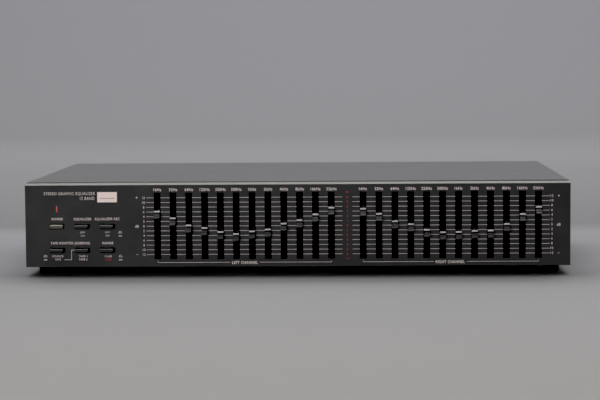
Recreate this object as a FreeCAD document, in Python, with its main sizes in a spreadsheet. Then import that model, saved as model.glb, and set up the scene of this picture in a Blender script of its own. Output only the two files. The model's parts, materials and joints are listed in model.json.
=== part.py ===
"""Stereo graphic equalizer, twelve bands a channel, as a parametric assembly.

Frame: millimetres, +X to the right seen from the front, the front faces -Y, +Z up.
The origin is on the surface that the feet stand on, under the middle of the whole
outline, knobs and sockets included.
"""
import os

import FreeCAD
import Part
import Sketcher
from FreeCAD import Placement, Rotation, Vector

# Driving dimensions: alias, value, meaning.
DIMENSIONS = (
    ("panel_width", 430.0, "front panel, side to side"),
    ("panel_height", 66.4, "front panel, bottom edge to top edge"),
    ("panel_thick", 3.0, "front panel plate"),
    ("panel_lift", 6.8, "front panel's bottom edge above the surface"),
    ("panel_bevel", 1.5, "bevel along the panel's top front edge"),
    ("cabinet_depth", 258.0, "back of the front panel to the back of the cover"),
    ("socket_reach", 9.0, "phono sockets past the back of the cover"),
    ("zero_height", 39.0, "0 dB line above the surface"),
    ("grid_centre", 39.9, "middle of the slider field, from the panel's middle"),
    ("bands", 12.0, "bands in each channel"),
    ("band_pitch", 12.5, "slider to slider"),
    ("slider_travel", 45.0, "end to end travel of a slider"),
    ("slot_width", 5.2, "slider slot in the panel"),
    ("slot_height", 52.6, "slider slot in the panel, end to end"),
    ("slot_raise", 0.1, "middle of a slot above the 0 dB line"),
    ("knob_width", 4.7, "slider knob, side to side"),
    ("knob_height", 6.5, "slider knob, top to bottom"),
    ("knob_reach", 10.0, "slider knob's lip in front of the panel"),
    ("knob_root", 2.8, "back of the knob behind the panel's face"),
    ("knob_crest", 4.0, "top of the knob in front of the panel"),
    ("crest_face", 0.6, "upright front of the knob's top"),
    ("crest_ease", 0.4, "eased edge of the knob's top"),
    ("ridge_reach", 5.8, "knob's middle ridge in front of the panel"),
    ("ridge_rise", 0.3, "knob's middle ridge above its middle"),
    ("lip_hang", 0.4, "knob's lip below its underside at the panel"),
    ("lip_length", 2.8, "level top of the knob's lip"),
    ("lip_thick", 1.85, "knob's lip, underside to top edge"),
    ("lip_sweep", 4.0, "rising underside of the lip"),
    ("lip_rise", 0.7, "rise of the lip's underside towards its tip"),
    ("lever_thick", 1.6, "slider lever, side to side"),
    ("lever_height", 3.8, "slider lever, top to bottom"),
    ("lever_grip", 3.0, "lever's tip in front of the panel's face"),
    ("carriage_width", 7.0, "wiper carriage inside a slide control"),
    ("carriage_height", 8.0, "wiper carriage, top to bottom"),
    ("fit_gap", 0.05, "push-on fits and running fits, each side"),
    ("button_left", -190.0, "first column of buttons, from the panel's middle"),
    ("button_pitch", 20.0, "button column to button column"),
    ("upper_row", 0.0, "upper buttons, from the 0 dB line"),
    ("lower_row", -18.85, "lower buttons, from the 0 dB line"),
    ("button_width", 10.6, "button cap, side to side"),
    ("button_height", 3.4, "button cap, top to bottom"),
    ("button_reach", 6.0, "button cap in front of the panel when out"),
    ("button_root", 2.8, "back of a cap behind the panel's face when out"),
    ("button_travel", 3.0, "stroke of a button"),
    ("button_edge", 0.7, "rounding of a cap's front edges"),
    ("window_width", 11.6, "button window in the panel"),
    ("window_height", 4.6, "button window in the panel"),
    ("window_corner", 0.5, "corner radius of a button window"),
    ("plunger_width", 3.2, "switch plunger, side to side"),
    ("plunger_height", 1.8, "switch plunger, top to bottom"),
    ("lamp_side", -189.9, "indicator, from the panel's middle"),
    ("lamp_raise", 13.9, "indicator, above the 0 dB line"),
    ("lamp_width", 1.2, "indicator lens"),
    ("lamp_height", 5.0, "indicator lens"),
    ("badge_side", -149.7, "name plate, from the panel's middle"),
    ("badge_raise", 23.2, "name plate, above the 0 dB line"),
    ("badge_width", 15.7, "name plate"),
    ("badge_height", 8.2, "name plate"),
    ("badge_thick", 0.6, "name plate"),
    ("felt_thick", 0.5, "dust felt behind the panel"),
    ("sub_drop", 1.9, "top of the sub-panel below the cover's top"),
    ("steel", 1.0, "sheet of the chassis, rear panel and cover"),
    ("cover_width", 429.0, "top cover, side to side"),
    ("cover_top", 74.1, "top cover above the surface"),
    ("cover_hem", 8.4, "cover's side edges above the surface"),
    ("cover_bend", 1.8, "outer bend radius of the cover"),
    ("rear_lip", 9.6, "cover's lip down the back"),
    ("sheet_gap", 0.1, "clearance between sheets that don't touch"),
    ("base_height", 8.0, "underside of the chassis base above the surface"),
    ("side_flange", 15.0, "upturned flange at each side of the base"),
    ("rear_flange", 12.0, "upturned flange at the back of the base"),
    ("foot_radius", 14.0, "foot at the top"),
    ("foot_shoulder", 13.8, "foot's radius where its side turns in"),
    ("shoulder_rise", 2.2, "height where the foot's side turns in"),
    ("foot_tread", 11.6, "foot's flat underside, radius"),
    ("tread_edge", 13.2, "foot's radius on the rounding under its side"),
    ("edge_rise", 1.0, "height of that rounding"),
    ("foot_bore", 2.1, "screw hole through a foot, radius"),
    ("foot_inset", 20.4, "foot's axis in from the panel's end"),
    ("foot_front", 24.0, "front feet behind the panel's face"),
    ("foot_back", 38.0, "rear feet in front of the cover's back"),
    ("foot_recess", 7.0, "radius of the recess under a foot"),
    ("recess_depth", 3.0, "depth of the recess under a foot"),
    ("board_thick", 1.6, "circuit boards"),
    ("board_height", 17.0, "underside of the main board above the surface"),
    ("can_width", 9.0, "slide control's case"),
    ("can_height", 57.0, "slide control's case"),
    ("can_front", 6.0, "slide control's case behind the panel's face"),
    ("can_depth", 8.5, "slide control's case, front to back"),
    ("can_wall", 0.6, "slide control's case, sheet"),
    ("track_thick", 1.2, "resistive track behind the wiper"),
    ("switch_front", 7.0, "switch bodies behind the panel's face"),
    ("switch_depth", 24.0, "switch bodies, front to back"),
    ("socket_radius", 4.15, "phono socket's shell"),
    ("socket_neck", 3.9, "phono socket's shell inside its block"),
    ("socket_bore", 3.3, "inside of the phono socket's shell"),
    ("socket_pitch", 18.0, "phono socket to phono socket"),
    ("socket_height", 41.0, "middle of the phono sockets above the surface"),
    ("block_left", 60.0, "first socket block, from the panel's middle"),
    ("block_pitch", 70.0, "socket block to socket block"),
    ("gland_side", -190.0, "cord gland, from the panel's middle"),
    ("gland_height", 30.0, "cord gland above the surface"),
    ("gland_bore", 3.6, "bore of the cord gland"),
    ("gland_body", 6.0, "cord gland's neck"),
    ("gland_flange", 8.5, "cord gland's flange"),
    ("gland_proud", 5.0, "cord gland's flange behind the rear panel"),
    ("coil_side", -150.0, "transformer, from the panel's middle"),
    ("coil_back", 70.0, "transformer, from the middle of the outline"),
)

# Slider knobs' places on the scale, in millimetres from the 0 dB line, low band first.
LEFT_SETTINGS = (9.3, 4.0, -1.7, -3.8, -7.0, -8.6, -6.6, -5.2, -0.6, 2.0, 6.5, 11.8)
RIGHT_SETTINGS = (10.8, 6.7, 0.9, -1.5, -6.0, -8.0, -7.8, -7.0, -6.7, -1.7, 6.0, 11.7)

BAND_NAMES = ("16hz", "32hz", "64hz", "125hz", "250hz", "500hz",
              "1khz", "2khz", "4khz", "8khz", "16khz", "32khz")

# Buttons: name, column, row, pushed in at rest.
BUTTONS = (
    ("power_button", 0, "upper", True),
    ("equalizer_button", 1, "upper", False),
    ("equalizer_rec_button", 2, "upper", False),
    ("tape_monitor_button", 0, "lower", False),
    ("tape_select_button", 1, "lower", False),
    ("range_button", 2, "lower", False),
)

doc = FreeCAD.newDocument("GraphicEqualizer")
sheet = doc.addObject("Spreadsheet::Sheet", "dims")
for row, (alias, value, meaning) in enumerate(DIMENSIONS, start=1):
    sheet.set("A%d" % row, meaning)
    sheet.set("B%d" % row, str(value))
    sheet.setAlias("B%d" % row, alias)
doc.recompute()

PARTS = []

# Stations that the pieces share, as expressions on the sheet.
PANEL_FACE = ("((dims.knob_reach - dims.panel_thick - dims.cabinet_depth"
              " - dims.socket_reach) / 2)")
PANEL_BACK = "(%s + dims.panel_thick)" % PANEL_FACE
CASE_BACK = "(%s + dims.cabinet_depth)" % PANEL_BACK
REAR_FACE = "(%s - dims.steel)" % CASE_BACK
REAR_INNER = "(%s - 2 * dims.steel)" % CASE_BACK
SUB_FACE = "(%s + dims.felt_thick)" % PANEL_BACK
SUB_BACK = "(%s + dims.steel)" % SUB_FACE
CAN_FACE = "(%s + dims.can_front)" % PANEL_FACE
CAN_BACK = "(%s + dims.can_depth)" % CAN_FACE
SWITCH_FACE = "(%s + dims.switch_front)" % PANEL_FACE
SWITCH_BACK = "(%s + dims.switch_depth)" % SWITCH_FACE
FLOOR_TOP = "(dims.base_height + dims.steel)"
COVER_SIDE = "(dims.cover_width / 2 - dims.steel)"
BASE_SIDE = "(%s - dims.sheet_gap)" % COVER_SIDE
SUB_SIDE = "(%s - dims.steel - 4 * dims.sheet_gap)" % BASE_SIDE
SUB_TOP = "(dims.cover_top - dims.sub_drop)"
BOARD_TOP = "(dims.board_height + dims.board_thick)"


def number(expression):
    """Value of an expression on the sheet, for a shape's first position."""
    return float(sheet.evalExpression(str(expression)))


def bind(thing, **settings):
    """Bind properties to expressions; a double underscore stands for a dot."""
    for name, expression in settings.items():
        thing.setExpression(name.replace("__", "."), str(expression))
    return thing


def place(thing, x=0, y=0, z=0):
    return bind(thing, Placement__Base__x=x, Placement__Base__y=y, Placement__Base__z=z)


def export(thing, label):
    """Name a finished sub-part; the label names its file."""
    thing.Label = label
    PARTS.append(thing)
    return thing


def box(name, x, y, z):
    """Block between two stations on each axis."""
    solid = doc.addObject("Part::Box", name)
    bind(solid, Length="(%s) - (%s)" % (x[1], x[0]), Width="(%s) - (%s)" % (y[1], y[0]),
         Height="(%s) - (%s)" % (z[1], z[0]))
    return place(solid, x[0], y[0], z[0])


def around(middle, whole):
    """The two stations of a width centred on a place."""
    return "%s - (%s) / 2" % (middle, whole), "%s + (%s) / 2" % (middle, whole)


TURNS = {
    "x": Rotation(Vector(0, 1, 0), 90),
    "-x": Rotation(Vector(0, 1, 0), -90),
    "y": Rotation(Vector(1, 0, 0), -90),
    "-y": Rotation(Vector(1, 0, 0), 90),
    "z": Rotation(),
    "-z": Rotation(Vector(1, 0, 0), 180),
}


def rod(name, axis, start, radius, length):
    """Cylinder that leaves its start point along an axis."""
    solid = doc.addObject("Part::Cylinder", name)
    solid.Placement = Placement(Vector(), TURNS[axis])
    bind(solid, Radius=radius, Height=length)
    return place(solid, *start)


def fuse(name, shapes):
    joined = doc.addObject("Part::MultiFuse", name)
    joined.Shapes = shapes
    joined.Refine = True
    return joined


def cut(name, base, tools):
    """Base less a list of tools that don't meet each other."""
    result = doc.addObject("Part::Cut", name)
    result.Base = base
    result.Tool = tools[0] if len(tools) == 1 else group(name + "_tools", tools)
    return result


def group(name, shapes):
    """Several separate solids kept as one sub-part."""
    gathered = doc.addObject("Part::Compound", name)
    gathered.Links = shapes
    return gathered


def new_body(name):
    return doc.addObject("PartDesign::Body", name)


def new_sketch(body, name, plane, offset=0):
    """Sketch on one of the body's own origin planes."""
    sketch = body.newObject("Sketcher::SketchObject", name)
    support = next(f for f in body.Origin.OriginFeatures if f.Role == plane)
    sketch.AttachmentSupport = (support, [""])
    sketch.MapMode = "FlatFace"
    return bind(sketch, AttachmentOffset__Base__z=offset)


def pin_point(sketch, geometry, point, across, up):
    """Hold a point of a sketch at two expressions."""
    for kind, expression in (("DistanceX", across), ("DistanceY", up)):
        index = sketch.addConstraint(
            Sketcher.Constraint(kind, -1, 1, geometry, point, number(expression)))
        sketch.setExpression("Constraints[%d]" % index, str(expression))


def outline(sketch, corners):
    """Closed outline of straight lines through corners given as expressions."""
    spots = [Vector(number(across), number(up), 0) for across, up in corners]
    lines = [Part.LineSegment(a, b) for a, b in zip(spots, spots[1:] + spots[:1])]
    ids = sketch.addGeometry(lines, False)
    for here, after in zip(ids, list(ids[1:]) + [ids[0]]):
        sketch.addConstraint(Sketcher.Constraint("Coincident", here, 2, after, 1))
    for line, (across, up) in zip(ids, corners):
        pin_point(sketch, line, 1, across, up)


def rectangle(sketch, x, z):
    outline(sketch, ((x[0], z[0]), (x[1], z[0]), (x[1], z[1]), (x[0], z[1])))


def circle(sketch, across, up, radius):
    centre = Vector(number(across), number(up), 0)
    index = sketch.addGeometry(Part.Circle(centre, Vector(0, 0, 1), number(radius)), False)
    pin_point(sketch, index, 3, across, up)
    held = sketch.addConstraint(Sketcher.Constraint("Radius", index, number(radius)))
    sketch.setExpression("Constraints[%d]" % held, str(radius))


def pad(body, name, sketch, length, reverse=False):
    feature = body.newObject("PartDesign::Pad", name)
    feature.Profile = sketch
    feature.Reversed = reverse
    return bind(feature, Length=length)


def pocket(body, name, sketch, length, reverse=False):
    """Cut, checked against the volume before it, since a cut may miss."""
    doc.recompute()
    before = body.Shape.Volume
    feature = body.newObject("PartDesign::Pocket", name)
    feature.Profile = sketch
    feature.Reversed = reverse
    bind(feature, Length=length)
    doc.recompute()
    if body.Shape.Volume > before - 0.01:
        raise RuntimeError("%s cuts nothing" % name)
    return feature


def repeat(body, name, original, sketch, extent, count):
    """The same cut, again and again along the sketch's first axis."""
    pattern = body.newObject("PartDesign::LinearPattern", name)
    pattern.Originals = [original]
    pattern.Direction = (sketch, ["H_Axis"])
    bind(pattern, Length=extent, Occurrences=count)
    body.Tip = pattern
    return pattern


def edges(shape, wanted):
    """Names of the edges whose middle and direction satisfy a test."""
    names = []
    for index, edge in enumerate(shape.Edges, start=1):
        middle = edge.valueAt((edge.FirstParameter + edge.LastParameter) / 2)
        along = edge.tangentAt((edge.FirstParameter + edge.LastParameter) / 2)
        if wanted(middle, along):
            names.append("Edge%d" % index)
    return names


def dress(body, kind, name, base, wanted, size):
    """Fillet or chamfer on the edges that satisfy a test."""
    doc.recompute()
    feature = body.newObject("PartDesign::" + kind, name)
    feature.Base = (base, edges(base.Shape, wanted))
    if kind == "Fillet":
        bind(feature, Radius=size)
    else:
        bind(feature, Size=size)
    return feature


def band_places():
    """Every slider: name, X as an expression, setting on the scale."""
    places = []
    for index, setting in enumerate(LEFT_SETTINGS):
        x = "(dims.grid_centre + (%d - dims.bands) * dims.band_pitch)" % index
        places.append(("left_%s_slider" % BAND_NAMES[index], x, setting))
    for index, setting in enumerate(RIGHT_SETTINGS):
        x = "(dims.grid_centre + %d * dims.band_pitch)" % (index + 1)
        places.append(("right_%s_slider" % BAND_NAMES[index], x, setting))
    return places


BANDS = band_places()
BAND_SIDES = [x for _, x, _ in BANDS]
SLIT_HEIGHT = "(dims.slider_travel + dims.lever_height + 1)"


def button_place(column, row):
    x = "(dims.button_left + %d * dims.button_pitch)" % column
    return x, "(dims.zero_height + dims.%s_row)" % row


BUTTON_PLACES = [(name,) + button_place(column, row) for name, column, row, _ in BUTTONS]
LAMP_HEIGHT = "(dims.zero_height + dims.lamp_raise)"


# ---------------------------------------------------------------- front panel

STUD_SIDES = ("-208", "dims.grid_centre", "208")
STUD_RISES = ("-26", "26")
STUDS = [(x, "(dims.zero_height + %s)" % rise) for x in STUD_SIDES for rise in STUD_RISES]
STUD_RADIUS = 1.5
STUD_LENGTH = 6.0
NUT_FLATS = 5.5
NUT_THICK = 2.4


def slot_stations(first):
    x = around("(dims.grid_centre + %s * dims.band_pitch)" % first, "dims.slot_width")
    return x, around("(dims.zero_height + dims.slot_raise)", "dims.slot_height")


def front_panel():
    """Plate with a bevelled top edge, slots, windows and studs on its back."""
    body = new_body("front_panel")
    face = new_sketch(body, "panel_outline", "XZ_Plane")
    rectangle(face, around("0", "dims.panel_width"),
              ("dims.panel_lift", "dims.panel_lift + dims.panel_height"))
    plate = pad(body, "panel_plate", face, "dims.panel_thick", reverse=True)
    top = number("dims.panel_lift + dims.panel_height")

    def top_front(middle, along):
        return abs(middle.y) < 0.01 and abs(middle.z - top) < 0.01

    dress(body, "Chamfer", "panel_top_bevel", plate, top_front, "dims.panel_bevel")
    for side, first in (("left", "(-dims.bands)"), ("right", "1")):
        slot = new_sketch(body, side + "_slot_outline", "XZ_Plane")
        rectangle(slot, *slot_stations(first))
        opening = pocket(body, side + "_slot", slot, "dims.panel_thick + 1")
        repeat(body, side + "_slots", opening, slot,
               "(dims.bands - 1) * dims.band_pitch", "dims.bands")
    windows = new_sketch(body, "window_outlines", "XZ_Plane")
    for _, x, z in BUTTON_PLACES:
        rectangle(windows, around(x, "dims.window_width"), around(z, "dims.window_height"))
    rectangle(windows, around("dims.lamp_side", "(dims.lamp_width + 0.3)"),
              around(LAMP_HEIGHT, "(dims.lamp_height + 0.3)"))
    opened = pocket(body, "windows", windows, "dims.panel_thick + 1")
    sides = [number(button_place(column, "upper")[0]) for column in range(3)]
    half = number("dims.window_width") / 2

    def window_corner(middle, along):
        near = any(abs(abs(middle.x - side) - half) < 0.01 for side in sides)
        return near and abs(along.y) > 0.99 and middle.z < number("dims.zero_height") + 5

    dress(body, "Fillet", "window_corners", opened, window_corner, "dims.window_corner")
    roots = new_sketch(body, "stud_roots", "XZ_Plane", "-dims.panel_thick")
    for x, z in STUDS:
        circle(roots, x, z, STUD_RADIUS)
    pad(body, "studs", roots, STUD_LENGTH, reverse=True)
    place(body, y=PANEL_FACE)
    return export(body, "front_panel")


def panel_nuts():
    nuts = []
    for index, (x, z) in enumerate(STUDS):
        prism = doc.addObject("Part::Prism", "nut_%d" % index)
        prism.Polygon = 6
        prism.Placement = Placement(Vector(), TURNS["y"])
        bind(prism, Circumradius="%s / 2 / cos(30)" % NUT_FLATS, Height=NUT_THICK)
        place(prism, x, SUB_BACK, z)
        hole = rod("nut_hole_%d" % index, "y", (x, SUB_BACK, z),
                   "%s + dims.fit_gap" % STUD_RADIUS, NUT_THICK)
        nuts.append(cut("panel_nut_%d" % index, prism, [hole]))
    export(group("panel_nuts", nuts), "panel_nuts")


def name_plate():
    """Blank plate stuck to the panel, its front edges eased."""
    body = new_body("name_plate")
    face = new_sketch(body, "plate_outline", "XZ_Plane")
    rectangle(face, around("dims.badge_side", "dims.badge_width"),
              around("(dims.zero_height + dims.badge_raise)", "dims.badge_height"))
    slab = pad(body, "plate_slab", face, "dims.badge_thick")
    front = -number("dims.badge_thick")
    dress(body, "Chamfer", "plate_edges", slab, lambda m, a: abs(m.y - front) < 0.01, 0.15)
    place(body, y=PANEL_FACE)
    export(body, "name_plate")


LAMP_BLOCK = 4.0
LEAD_RADIUS = 0.3


def indicator_lamp():
    """Red bar lens through the panel, its block behind, and two leads to the board."""
    block_back = "(%s + 5)" % SUB_BACK
    lens = box("lens_bar", around("dims.lamp_side", "dims.lamp_width"),
               (PANEL_FACE + " - 0.3", SUB_BACK), around(LAMP_HEIGHT, "dims.lamp_height"))
    block = box("lens_block", around("dims.lamp_side", LAMP_BLOCK),
                (SUB_FACE, block_back), around(LAMP_HEIGHT, "(dims.lamp_height + 1)"))
    leads = [rod("lamp_lead_%s" % word, "y", ("dims.lamp_side", block_back, LAMP_HEIGHT + offset),
                 LEAD_RADIUS, "%s - %s" % (SWITCH_BACK, block_back))
             for word, offset in (("low", " - 1.27"), ("high", " + 1.27"))]
    export(group("indicator_lamp", [fuse("lens", [lens, block])] + leads), "indicator_lamp")


# ------------------------------------------------------- behind the front panel

def dust_felt():
    """Thin felt behind the slots, slit for the levers."""
    slab = box("felt_sheet",
               around("dims.grid_centre", "(2 * dims.bands + 1.3) * dims.band_pitch"),
               (PANEL_BACK, SUB_FACE), around("dims.zero_height", "dims.can_height"))
    through = (PANEL_BACK + " - 1", SUB_FACE + " + 1")
    tools = [box("felt_slit_%d" % index, around(x, "(dims.lever_thick + 0.6)"), through,
                 around("dims.zero_height", SLIT_HEIGHT))
             for index, x in enumerate(BAND_SIDES)]
    tools += [rod("felt_hole_%d" % index, "y", (x, through[0], z), "%s + 0.5" % STUD_RADIUS, 3.0)
              for index, (x, z) in enumerate(STUDS) if x == "dims.grid_centre"]
    export(cut("dust_felt", slab, tools), "dust_felt")


def sub_panel():
    """Steel front of the chassis: flanged top and bottom, open behind every slot."""
    sheet_z = (FLOOR_TOP, SUB_TOP)
    plate = box("sub_plate", around("0", "2 * " + SUB_SIDE), (SUB_FACE, SUB_BACK), sheet_z)
    lower = box("sub_lower_flange", around("0", "2 * " + SUB_SIDE),
                (SUB_FACE, SUB_FACE + " + 12"), (FLOOR_TOP, FLOOR_TOP + " + dims.steel"))
    upper = box("sub_upper_flange", around("0", "2 * " + SUB_SIDE),
                (SUB_FACE, SUB_FACE + " + 10"), (SUB_TOP + " - dims.steel", SUB_TOP))
    through = (SUB_FACE + " - 1", SUB_BACK + " + 1")
    tools = [box("sub_slot_%d" % index, around(x, "(dims.slot_width + 1.8)"), through,
                 around("dims.zero_height", "(dims.slot_height + 1.4)"))
             for index, x in enumerate(BAND_SIDES)]
    tools += [box("sub_window_" + name, around(x, "(dims.window_width + 1)"), through,
                  around(z, "(dims.window_height + 1.4)"))
              for name, x, z in BUTTON_PLACES]
    tools.append(box("sub_lamp_window", around("dims.lamp_side", LAMP_BLOCK + 0.4), through,
                     around(LAMP_HEIGHT, "(dims.lamp_height + 1.4)")))
    tools += [rod("sub_stud_hole_%d" % index, "y", (x, through[0], z), "%s + 0.2" % STUD_RADIUS, 3.0)
              for index, (x, z) in enumerate(STUDS)]
    export(cut("sub_panel", fuse("sub_sheet", [plate, lower, upper]), tools), "sub_panel")


def slide_controls():
    """Pressed cases of the slide controls, and the tracks inside them."""
    inside_width = "(dims.can_width - 2 * dims.can_wall)"
    inside_height = "(dims.can_height - 2 * dims.can_wall)"
    cans, tracks = [], []
    for index, x in enumerate(BAND_SIDES):
        case = box("can_case_%d" % index, around(x, "dims.can_width"),
                   (CAN_FACE, CAN_BACK), around("dims.zero_height", "dims.can_height"))
        hollow = box("can_hollow_%d" % index, around(x, inside_width),
                     (CAN_FACE + " + dims.can_wall", CAN_BACK + " + 1"),
                     around("dims.zero_height", inside_height))
        slit = box("can_slit_%d" % index, around(x, "(dims.lever_thick + 0.8)"),
                   (CAN_FACE + " - 1", CAN_FACE + " + dims.can_wall + 0.1"),
                   around("dims.zero_height", SLIT_HEIGHT))
        void = fuse("can_void_%d" % index, [hollow, slit])
        cans.append(cut("slide_can_%d" % index, case, [void]))
        tracks.append(box("slide_track_%d" % index,
                          around(x, "(%s - 2 * dims.sheet_gap)" % inside_width),
                          (CAN_BACK + " - dims.track_thick", CAN_BACK),
                          around("dims.zero_height", "(%s - 2 * dims.sheet_gap)" % inside_height)))
    export(group("slide_control_cases", cans), "slide_control_cases")
    export(group("slide_control_tracks", tracks), "slide_control_tracks")


def slider_board():
    width = "(2 * dims.bands + 1.2) * dims.band_pitch"
    plate = box("slider_board_plate", around("dims.grid_centre", width),
                (CAN_BACK, CAN_BACK + " + dims.board_thick"),
                around("dims.zero_height", "dims.can_height"))
    export(plate, "slider_board")


def switches():
    """Push-push switch bodies, each bored for its plunger, on their own board."""
    bodies = []
    for name, x, z in BUTTON_PLACES:
        case = box("switch_case_" + name, around(x, 13.0), (SWITCH_FACE, SWITCH_BACK),
                   around(z, 10.0))
        bore = box("switch_bore_" + name, around(x, "(dims.plunger_width + 0.4)"),
                   (SWITCH_FACE + " - 1", SWITCH_FACE + " + 15"),
                   around(z, "(dims.plunger_height + 0.4)"))
        bodies.append(cut("switch_" + name, case, [bore]))
    export(group("switch_bodies", bodies), "switch_bodies")
    plate = box("switch_board_plate", around("(dims.button_left + dims.button_pitch)", 60.0),
                (SWITCH_BACK, SWITCH_BACK + " + dims.board_thick"),
                ("dims.zero_height - 27", "dims.zero_height + 21"))
    export(plate, "switch_board")


# ------------------------------------------------------------------ moving pieces

def slider(name, x, setting):
    """Knob pushed on the lever of its wiper carriage.

    The knob steps down from its top over a ridge to a long finger lip. Drawn about the
    panel's face and the knob's middle, then put on its band.
    """
    knob = new_body(name + "_knob")
    side = new_sketch(knob, name + "_side", "YZ_Plane", "-dims.knob_width / 2")
    top = "dims.knob_height / 2"
    under = "-%s - dims.lip_hang" % top
    lip_end = "-dims.knob_reach + dims.lip_length"
    outline(side, (
        ("dims.knob_root", "-" + top),
        ("-1", "-" + top),
        ("-dims.knob_reach + dims.lip_sweep", under),
        ("-dims.knob_reach + 0.4", under + " + dims.lip_rise"),
        ("-dims.knob_reach", under + " + dims.lip_rise + 0.4"),
        ("-dims.knob_reach", under + " + dims.lip_thick - 0.35"),
        ("-dims.knob_reach + 0.5", under + " + dims.lip_thick"),
        (lip_end, under + " + dims.lip_thick + 0.3"),
        ("-dims.ridge_reach - 0.6", "dims.ridge_rise - 0.4"),
        ("-dims.ridge_reach", "dims.ridge_rise"),
        ("-dims.ridge_reach + 0.9", "dims.ridge_rise + 0.3"),
        ("-dims.knob_crest", top + " - 0.3 - dims.crest_face"),
        ("-dims.knob_crest", top + " - 0.3"),
        ("-dims.knob_crest + dims.crest_ease", top),
        ("dims.knob_root", top),
    ))
    pad(knob, name + "_block", side, "dims.knob_width")
    socket = new_sketch(knob, name + "_socket_outline", "XZ_Plane", "-dims.knob_root")
    rectangle(socket, around("0", "(dims.lever_thick + 2 * dims.fit_gap)"),
              around("0", "(dims.lever_height + 2 * dims.fit_gap)"))
    pocket(knob, name + "_socket", socket,
           "dims.knob_root + dims.lever_grip + dims.fit_gap", reverse=True)
    back = "(dims.can_front + dims.can_depth - dims.track_thick - 0.3)"
    carriage_front = "(dims.can_front + dims.can_wall + 0.5)"
    lever = box(name + "_blade", around("0", "dims.lever_thick"),
                ("-dims.lever_grip", back), around("0", "dims.lever_height"))
    carriage = box(name + "_carriage", around("0", "dims.carriage_width"),
                   (carriage_front, back), around("0", "dims.carriage_height"))
    whole = group(name, [knob, fuse(name + "_lever", [lever, carriage])])
    place(whole, x, PANEL_FACE, "dims.zero_height + %s" % setting)
    export(whole, name)


def button(name, column, row, latched):
    """Cap pushed on its switch's plunger, drawn in its out position."""
    cap = new_body(name + "_cap")
    face = new_sketch(cap, name + "_face", "XZ_Plane", "-dims.button_root")
    rectangle(face, around("0", "dims.button_width"), around("0", "dims.button_height"))
    block = pad(cap, name + "_block", face, "dims.button_root + dims.button_reach")
    front = -number("dims.button_reach")
    dress(cap, "Fillet", name + "_edges", block, lambda m, a: abs(m.y - front) < 0.01,
          "dims.button_edge")
    socket = new_sketch(cap, name + "_socket_outline", "XZ_Plane", "-dims.button_root")
    rectangle(socket, around("0", "(dims.plunger_width + 2 * dims.fit_gap)"),
              around("0", "(dims.plunger_height + 2 * dims.fit_gap)"))
    pocket(cap, name + "_socket", socket, "4 + dims.fit_gap", reverse=True)
    plunger = box(name + "_plunger", around("0", "dims.plunger_width"),
                  ("dims.button_root - 4", "dims.switch_front + 8"),
                  around("0", "dims.plunger_height"))
    whole = group(name, [cap, plunger])
    x, z = button_place(column, row)
    place(whole, x, PANEL_FACE + (" + dims.button_travel" if latched else ""), z)
    export(whole, name)


# ------------------------------------------------------------------------ casing

SIDE_SCREW_HEIGHT = 16.5
SIDE_SCREW_BACKS = (-90.0, 90.0)
LIP_SCREW_SIDES = (-190.0, 0.0, 190.0)
LIP_SCREW_HEIGHT = 68.2
REAR_SCREW_SIDES = (-205.0, -70.0, 20.0, 205.0)
REAR_SCREW_HEIGHT = 15.0
BLOCKS = ("dims.block_left", "(dims.block_left + dims.block_pitch)")


def foot_places():
    x = "(dims.panel_width / 2 - dims.foot_inset)"
    front = "(%s + dims.foot_front)" % PANEL_FACE
    back = "(%s - dims.foot_back)" % CASE_BACK
    return [(side + x, y) for side in ("-", "") for y in (front, back)]


def socket_places():
    """Every phono socket: X and Z as expressions."""
    return [("(%s + %d * dims.socket_pitch)" % (block, column),
             "(dims.socket_height + %s * dims.socket_pitch)" % row)
            for block in BLOCKS for column in (-1, 0, 1) for row in ("-0.5", "0.5")]


def block_screw_places():
    return [("(%s + %s * dims.socket_pitch)" % (block, side), "dims.socket_height")
            for block in BLOCKS for side in ("-0.5", "0.5")]


def transformer_screw_places():
    return [("(dims.coil_side + %d)" % side, "dims.coil_back") for side in (-34, 34)]


def chassis_base():
    """Floor tray with upturned sides and back, slotted for air."""
    front = PANEL_BACK + " + 2 * dims.sheet_gap"
    back = REAR_INNER + " - dims.sheet_gap"
    floor = box("base_floor", around("0", "2 * " + BASE_SIDE), (front, back),
                ("dims.base_height", FLOOR_TOP))
    walls = [box("base_%s_flange" % word, x, (front, back),
                 ("dims.base_height", "dims.base_height + dims.side_flange"))
             for word, x in (("left", ("-" + BASE_SIDE, "-%s + dims.steel" % BASE_SIDE)),
                             ("right", (BASE_SIDE + " - dims.steel", BASE_SIDE)))]
    heel = box("base_back_flange", around("0", "2 * " + BASE_SIDE),
               (back + " - dims.steel", back),
               ("dims.base_height", "dims.base_height + dims.rear_flange"))
    through = ("dims.base_height - 1", FLOOR_TOP + " + 1")
    tools = [box("base_vent_%d_%d" % (bank, index), around(str(side + 9 * index), 4.0),
                 (str(near), str(near + 46)), through)
             for bank, (side, near) in enumerate(((-186, -60), (10, -25), (10, 35)))
             for index in range(9)]
    for index, (x, y) in enumerate(foot_places() + transformer_screw_places()):
        tools.append(rod("base_hole_%d" % index, "z", (x, y, "dims.base_height - 1"), 2.1, 3.0))
    for side, axis in (("-", "-x"), ("", "x")):
        for index, y in enumerate(SIDE_SCREW_BACKS):
            start = ("%s(%s - 2 * dims.steel)" % (side, BASE_SIDE), y, SIDE_SCREW_HEIGHT)
            tools.append(rod("base_side_hole_%s_%d" % (axis.strip("x") or "p", index), axis,
                             start, 2.0, 4.0))
    for index, x in enumerate(REAR_SCREW_SIDES):
        tools.append(rod("base_heel_hole_%d" % index, "y",
                         (x, back + " - 2", REAR_SCREW_HEIGHT), 1.5, 4.0))
    export(cut("chassis_base", fuse("base_tray", [floor] + walls + [heel]), tools),
           "chassis_base")


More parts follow.
